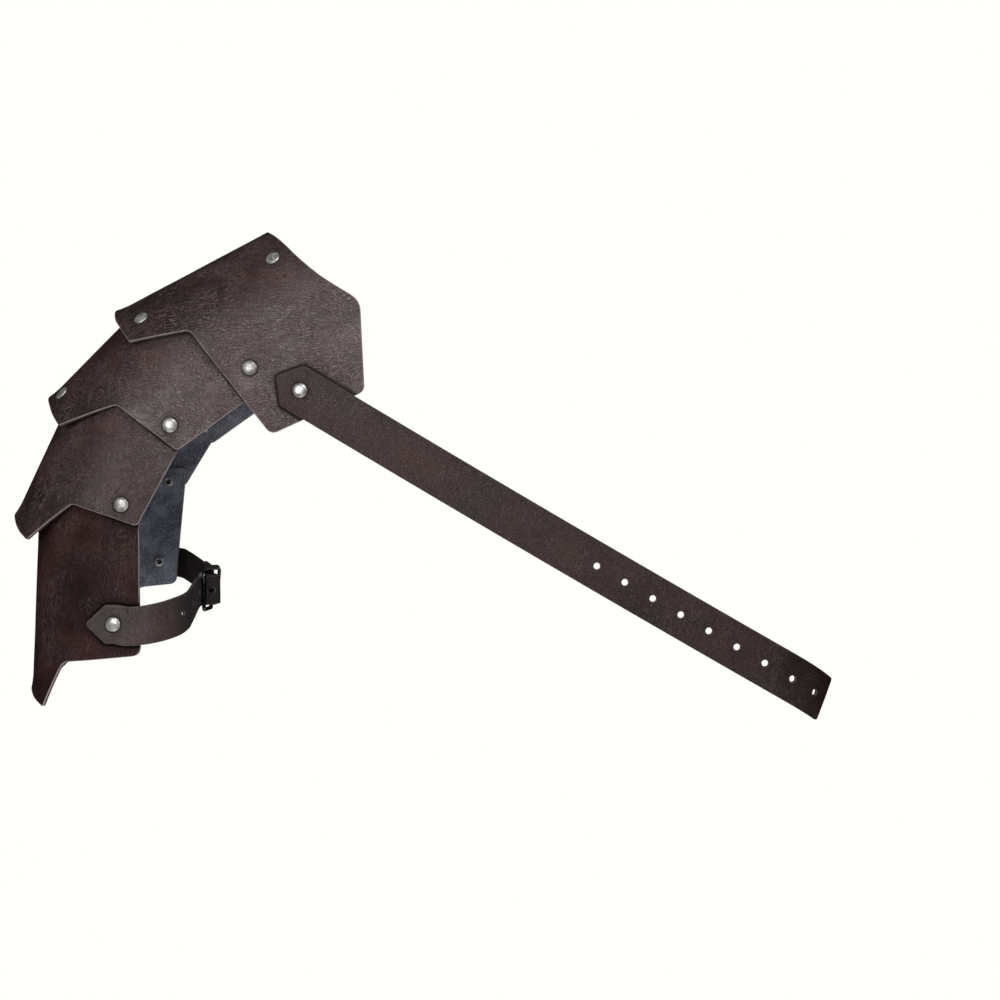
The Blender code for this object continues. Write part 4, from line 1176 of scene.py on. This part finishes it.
def leather(hide):
    """Dark oiled leather: grain and wrinkles outside, dyed flesh side, layered cut edges."""
    base, warm, tan = hide.tones
    finish = Finish(hide.name, specular=hide.shine, tint=HIDE_SHEEN)
    pattern = finish.mark("pattern", "Vector")
    rim = finish.mark("rim")
    lap = finish.mark("lap")
    along = finish.add("ShaderNodeSeparateXYZ", {}, {"Vector": pattern}, "X")
    depth = finish.add("ShaderNodeSeparateXYZ", {}, {"Vector": pattern}, "Z") / (hide.thickness / 2)
    cut = 1.0 - finish.span(abs(depth), 0.60, 0.86)
    inside = finish.span(0.0 - depth, 0.45, 0.70)

    sets = [creases(finish, pattern, wrinkles, hide.angle, hide.seed) for wrinkles in WRINKLES]
    (first, first_lines), (second, second_lines), (third, third_lines) = sets
    swell = first + second * CROSSING + third * CROSSING
    lines = finish.larger(first_lines, finish.larger(second_lines, third_lines) * CROSSING)
    cells = finish.add(
        "ShaderNodeTexVoronoi", {"feature": "DISTANCE_TO_EDGE"},
        {"Vector": finish.wander(pattern, 500.0, 0.0010), "Scale": GRAIN})
    grain = finish.span(cells, 0.0, 0.22)
    pores = finish.noise(pattern, PORES, 2.0, 0.6)

    cloud = finish.noise(pattern, CLOUDS, 3.0, 0.55)
    strayed = finish.wander(pattern, 40.0, 0.02)
    streak = finish.noise(finish.turned(strayed, hide.angle, STREAKS), 1.0, 3.0, 0.6)
    tone = finish.mix(finish.span(cloud, 0.36, 0.64), base, warm)
    tone = finish.mix(finish.span(streak, 0.48, 0.70) * 0.5, tone, warm)
    tone = finish.mix(finish.span(pores, 0.35, 0.65) * 0.14, tone, tan)
    # Painted shade: the strap darkened to black from a given length on.
    painted_shade_far = finish.span(along, hide.black_from, hide.black_from + FADE)
    tone = finish.mix(painted_shade_far, tone, BLACK_WARM)
    # Painted highlight: the wrinkles' ridge lines are painted pale tan.
    tone = finish.mix(lines * (1.8 * hide.creases), tone, CREASE_HIGHLIGHT)
    tone = finish.mix((1.0 - grain) * 0.30, tone, SOOT)
    shaded = 1.0 - finish.span(rim, 0.0, RIM_SHADED)
    tone = finish.mix(shaded * 0.35, tone, RIM_SHADE)
    # A pale line along each cut edge: wear, and a painted highlight.
    worn_and_highlight = 1.0 - finish.span(rim, RIM_START, RIM_END)
    tone = finish.mix(worn_and_highlight * (0.65 * hide.pale), tone, RIM_WORN_HIGHLIGHT)
    # Painted shadow: black along the edges of the pieces that overlap this one and round the rivet
    # caps, and rougher there.
    painted_shadow_edge = finish.span(lap, 0.66, 0.81)
    painted_shadow = finish.larger(finish.span(lap, 0.0, 0.8) * 0.42, painted_shadow_edge * 0.95)
    tone = finish.mix(painted_shadow, tone, BLACK)

    flesh, fibres, nap = flesh_side(finish, pattern)
    tone = finish.mix(inside * (1.0 - hide.dyed), tone, flesh)
    ply = finish.noise(finish.turned(pattern, 0.0, PLIES), 1.0, 3.0, 0.7)
    layers = finish.span(abs(depth) + (ply - 0.5) * 0.6, 0.12, 0.55)
    tone = finish.mix(cut, tone, finish.mix(layers * hide.pale, CORE_DARK, CORE_PALE))

    gloss = finish.span(cloud, 0.3, 0.7, 0.34, 0.42) + (1.0 - grain) * 0.15
    gloss = gloss - worn_and_highlight * 0.08 + painted_shadow_edge * 0.6 + painted_shade_far * 0.3
    rough = finish.between(cut, finish.between(inside, gloss, 0.55), 0.75)
    relief = grain * 0.05 + pores * 0.08 + (swell * 1.8 + lines * 0.9) * hide.creases + cloud * 0.5
    relief = relief + inside * (fibres * 0.12 + nap * 0.15) + cut * ply * 0.15
    return finish.done(tone, rough, relief)


def metal(name, shine, dull, metallic, rough):
    """Worn cast metal: brushed, mottled, dark in its hollows with tarnish and painted shade."""
    finish = Finish(name, metallic=metallic)
    where = finish.add("ShaderNodeTexCoord", {}, {}, "Object")
    hollow = finish.mark("hollow")
    mottle = finish.noise(where, MOTTLE, 3.0, 0.6)
    brushed = finish.noise(finish.turned(where, 30.0, BRUSHING), 1.0, 2.0, 0.6)
    tone = finish.mix(finish.span(mottle, 0.38, 0.66), dull, shine)
    tone = finish.mix(finish.span(brushed, 0.58, 0.74) * 0.3, tone, dull)
    # Tarnish and painted shade: the hollows under the cap's rim, down the shank and in the ring are
    # darkened.
    tone = finish.mix(hollow * 0.9, tone, TARNISH_AND_SHADE)
    gloss = finish.span(mottle, 0.35, 0.65, rough + 0.10, rough) + hollow * 0.3
    return finish.done(tone, gloss, brushed * 0.02 + mottle * 0.02)


# Studio

FLOOR = -0.40  # height of the floor
FLOOR_SIDE = 5.0  # half its width
FLOOR_FRONT = -3.5
WALL = 3.2  # how far back the wall stands
WALL_TOP = 4.0
COVE = 1.2  # radius of the sweep between the floor and the wall
COVE_STEPS = 24
LENS = 44.2  # millimetres, on a sensor 36 mm wide
CAMERA_AT = (0.1935, -0.850, -0.1624)
ROOM_GLOW = 0.16

# Square soft boxes. The glow is how bright each looks, where white paper is 1.
Box = namedtuple("Box", "name place target size glow glossy")
BOXES = [
    Box("sheen_box", (-0.28, -1.5, 0.10), (0.02, -0.07, -0.08), 0.6, 10.6, True),
    Box("top_box", (0.45, -0.9, 0.75), (0.02, 0.0, -0.12), 0.5, 6.0, True),
    Box("floor_bounce", (0.05, -0.10, FLOOR + 0.01), (0.05, -0.10, 1.0), 0.6, 0.7, True),
    Box("right_box", (1.1, -0.7, 0.20), (0.02, 0.0, -0.15), 0.5, 3.0, True),
    Box("back_box", (-0.2, 1.4, -0.10), (0.02, 0.0, -0.12), 0.6, 12.0, False),
]


def make_floor():
    """A pale floor that sweeps up into a backdrop."""
    solid = bmesh.new()
    line = [solid.verts.new((-FLOOR_SIDE, FLOOR_FRONT, FLOOR))]
    for step in range(COVE_STEPS + 1):
        angle = pi / 2 * step / COVE_STEPS
        back = WALL - COVE + COVE * sin(angle)
        line.append(solid.verts.new((-FLOOR_SIDE, back, FLOOR + COVE * (1 - cos(angle)))))
    line.append(solid.verts.new((-FLOOR_SIDE, WALL, WALL_TOP)))
    edges = [solid.edges.new(pair) for pair in zip(line, line[1:])]
    swept = bmesh.ops.extrude_edge_only(solid, edges=edges)
    moved = [piece for piece in swept["geom"] if isinstance(piece, bmesh.types.BMVert)]
    bmesh.ops.translate(solid, vec=ALONG * (2 * FLOOR_SIDE), verts=moved)
    floor = smooth_object("studio_floor", solid)
    floor.visible_diffuse = False
    floor.visible_glossy = False
    finish = Finish("lit_paper", specular=0.0)
    finish.shader.inputs["Base Color"].default_value = colour((0.0, 0.0, 0.0))
    finish.shader.inputs["Emission Color"].default_value = colour(PAPER)
    finish.shader.inputs["Emission Strength"].default_value = 1.0
    floor.data.materials.append(finish.material)


def make_light(box):
    """One soft box, hidden from the camera."""
    data = bpy.data.lights.new(box.name, "AREA")
    data.shape = "SQUARE"
    data.size = box.size
    data.energy = pi * box.size * box.size * box.glow
    light = linked(box.name, data)
    light.location = box.place
    aim = Vector(box.target) - Vector(box.place)
    light.rotation_euler = aim.to_track_quat("-Z", "Y").to_euler()
    light.visible_camera = False
    light.visible_glossy = box.glossy


def make_studio():
    """Camera, lights and a white surround."""
    view = bpy.data.cameras.new("photo_view")
    view.sensor_width = 36.0
    view.lens = LENS
    camera = linked("photo_view", view)
    camera.location = CAMERA_AT
    camera.rotation_euler = (radians(90), 0.0, 0.0)
    scene = bpy.context.scene
    scene.camera = camera
    scene.view_settings.view_transform = "Standard"
    world = bpy.data.worlds.new("white_room")
    world.use_nodes = True
    background = world.node_tree.nodes["Background"]
    background.inputs["Color"].default_value = colour(WHITE)
    background.inputs["Strength"].default_value = ROOM_GLOW
    world.cycles_visibility.glossy = False
    scene.world = world
    make_floor()
    for box in BOXES:
        make_light(box)


def main():
    """Builds the dressed pauldron and its studio."""
    make_studio()
    hides = [leather(hide) for hide in HIDES]
    strap, arm_strap, black_strap = hides[4:]
    steel = metal("antique_silver", SILVER, SILVER_DULL, 0.60, 0.30)
    gunmetal = metal("gunmetal", GUNMETAL, GUNMETAL_DULL, 1.0, 0.18)
    arches = make_arches()
    caps = [[], [], [], []]
    for pair in RIVET_PAIRS:
        arch = arches[pair.plate]
        grip = pair.through * PLATE + (pair.through - 1) * NEST_GAP
        for side, shares in (("front", pair.front), ("rear", pair.rear)):
            lengths = plate_place(arch, shares, side)
            caps[pair.plate].append(lengths)
            show_rivet(f"rivet_{pair.name}_{side}", arch_spot(arch, *lengths), grip, steel)
    laid = [show_chest_strap(arches[0], strap, steel), [], [], []]
    laid[3] = show_arm_loop(arches[3], arm_strap, black_strap, steel, gunmetal)
    tables = ((FRONT_1, REAR_1), (FRONT_2, REAR_2), (FRONT_3, REAR_3), (FRONT_4, REAR_4))
    edge = []
    for index, (front, rear) in enumerate(tables):
        upper = arches[index - 1] if index else None
        over = laid[index] + edge
        edge = show_plate(index + 1, arches[index], upper, front, rear, caps[index], over, hides[index])


main()
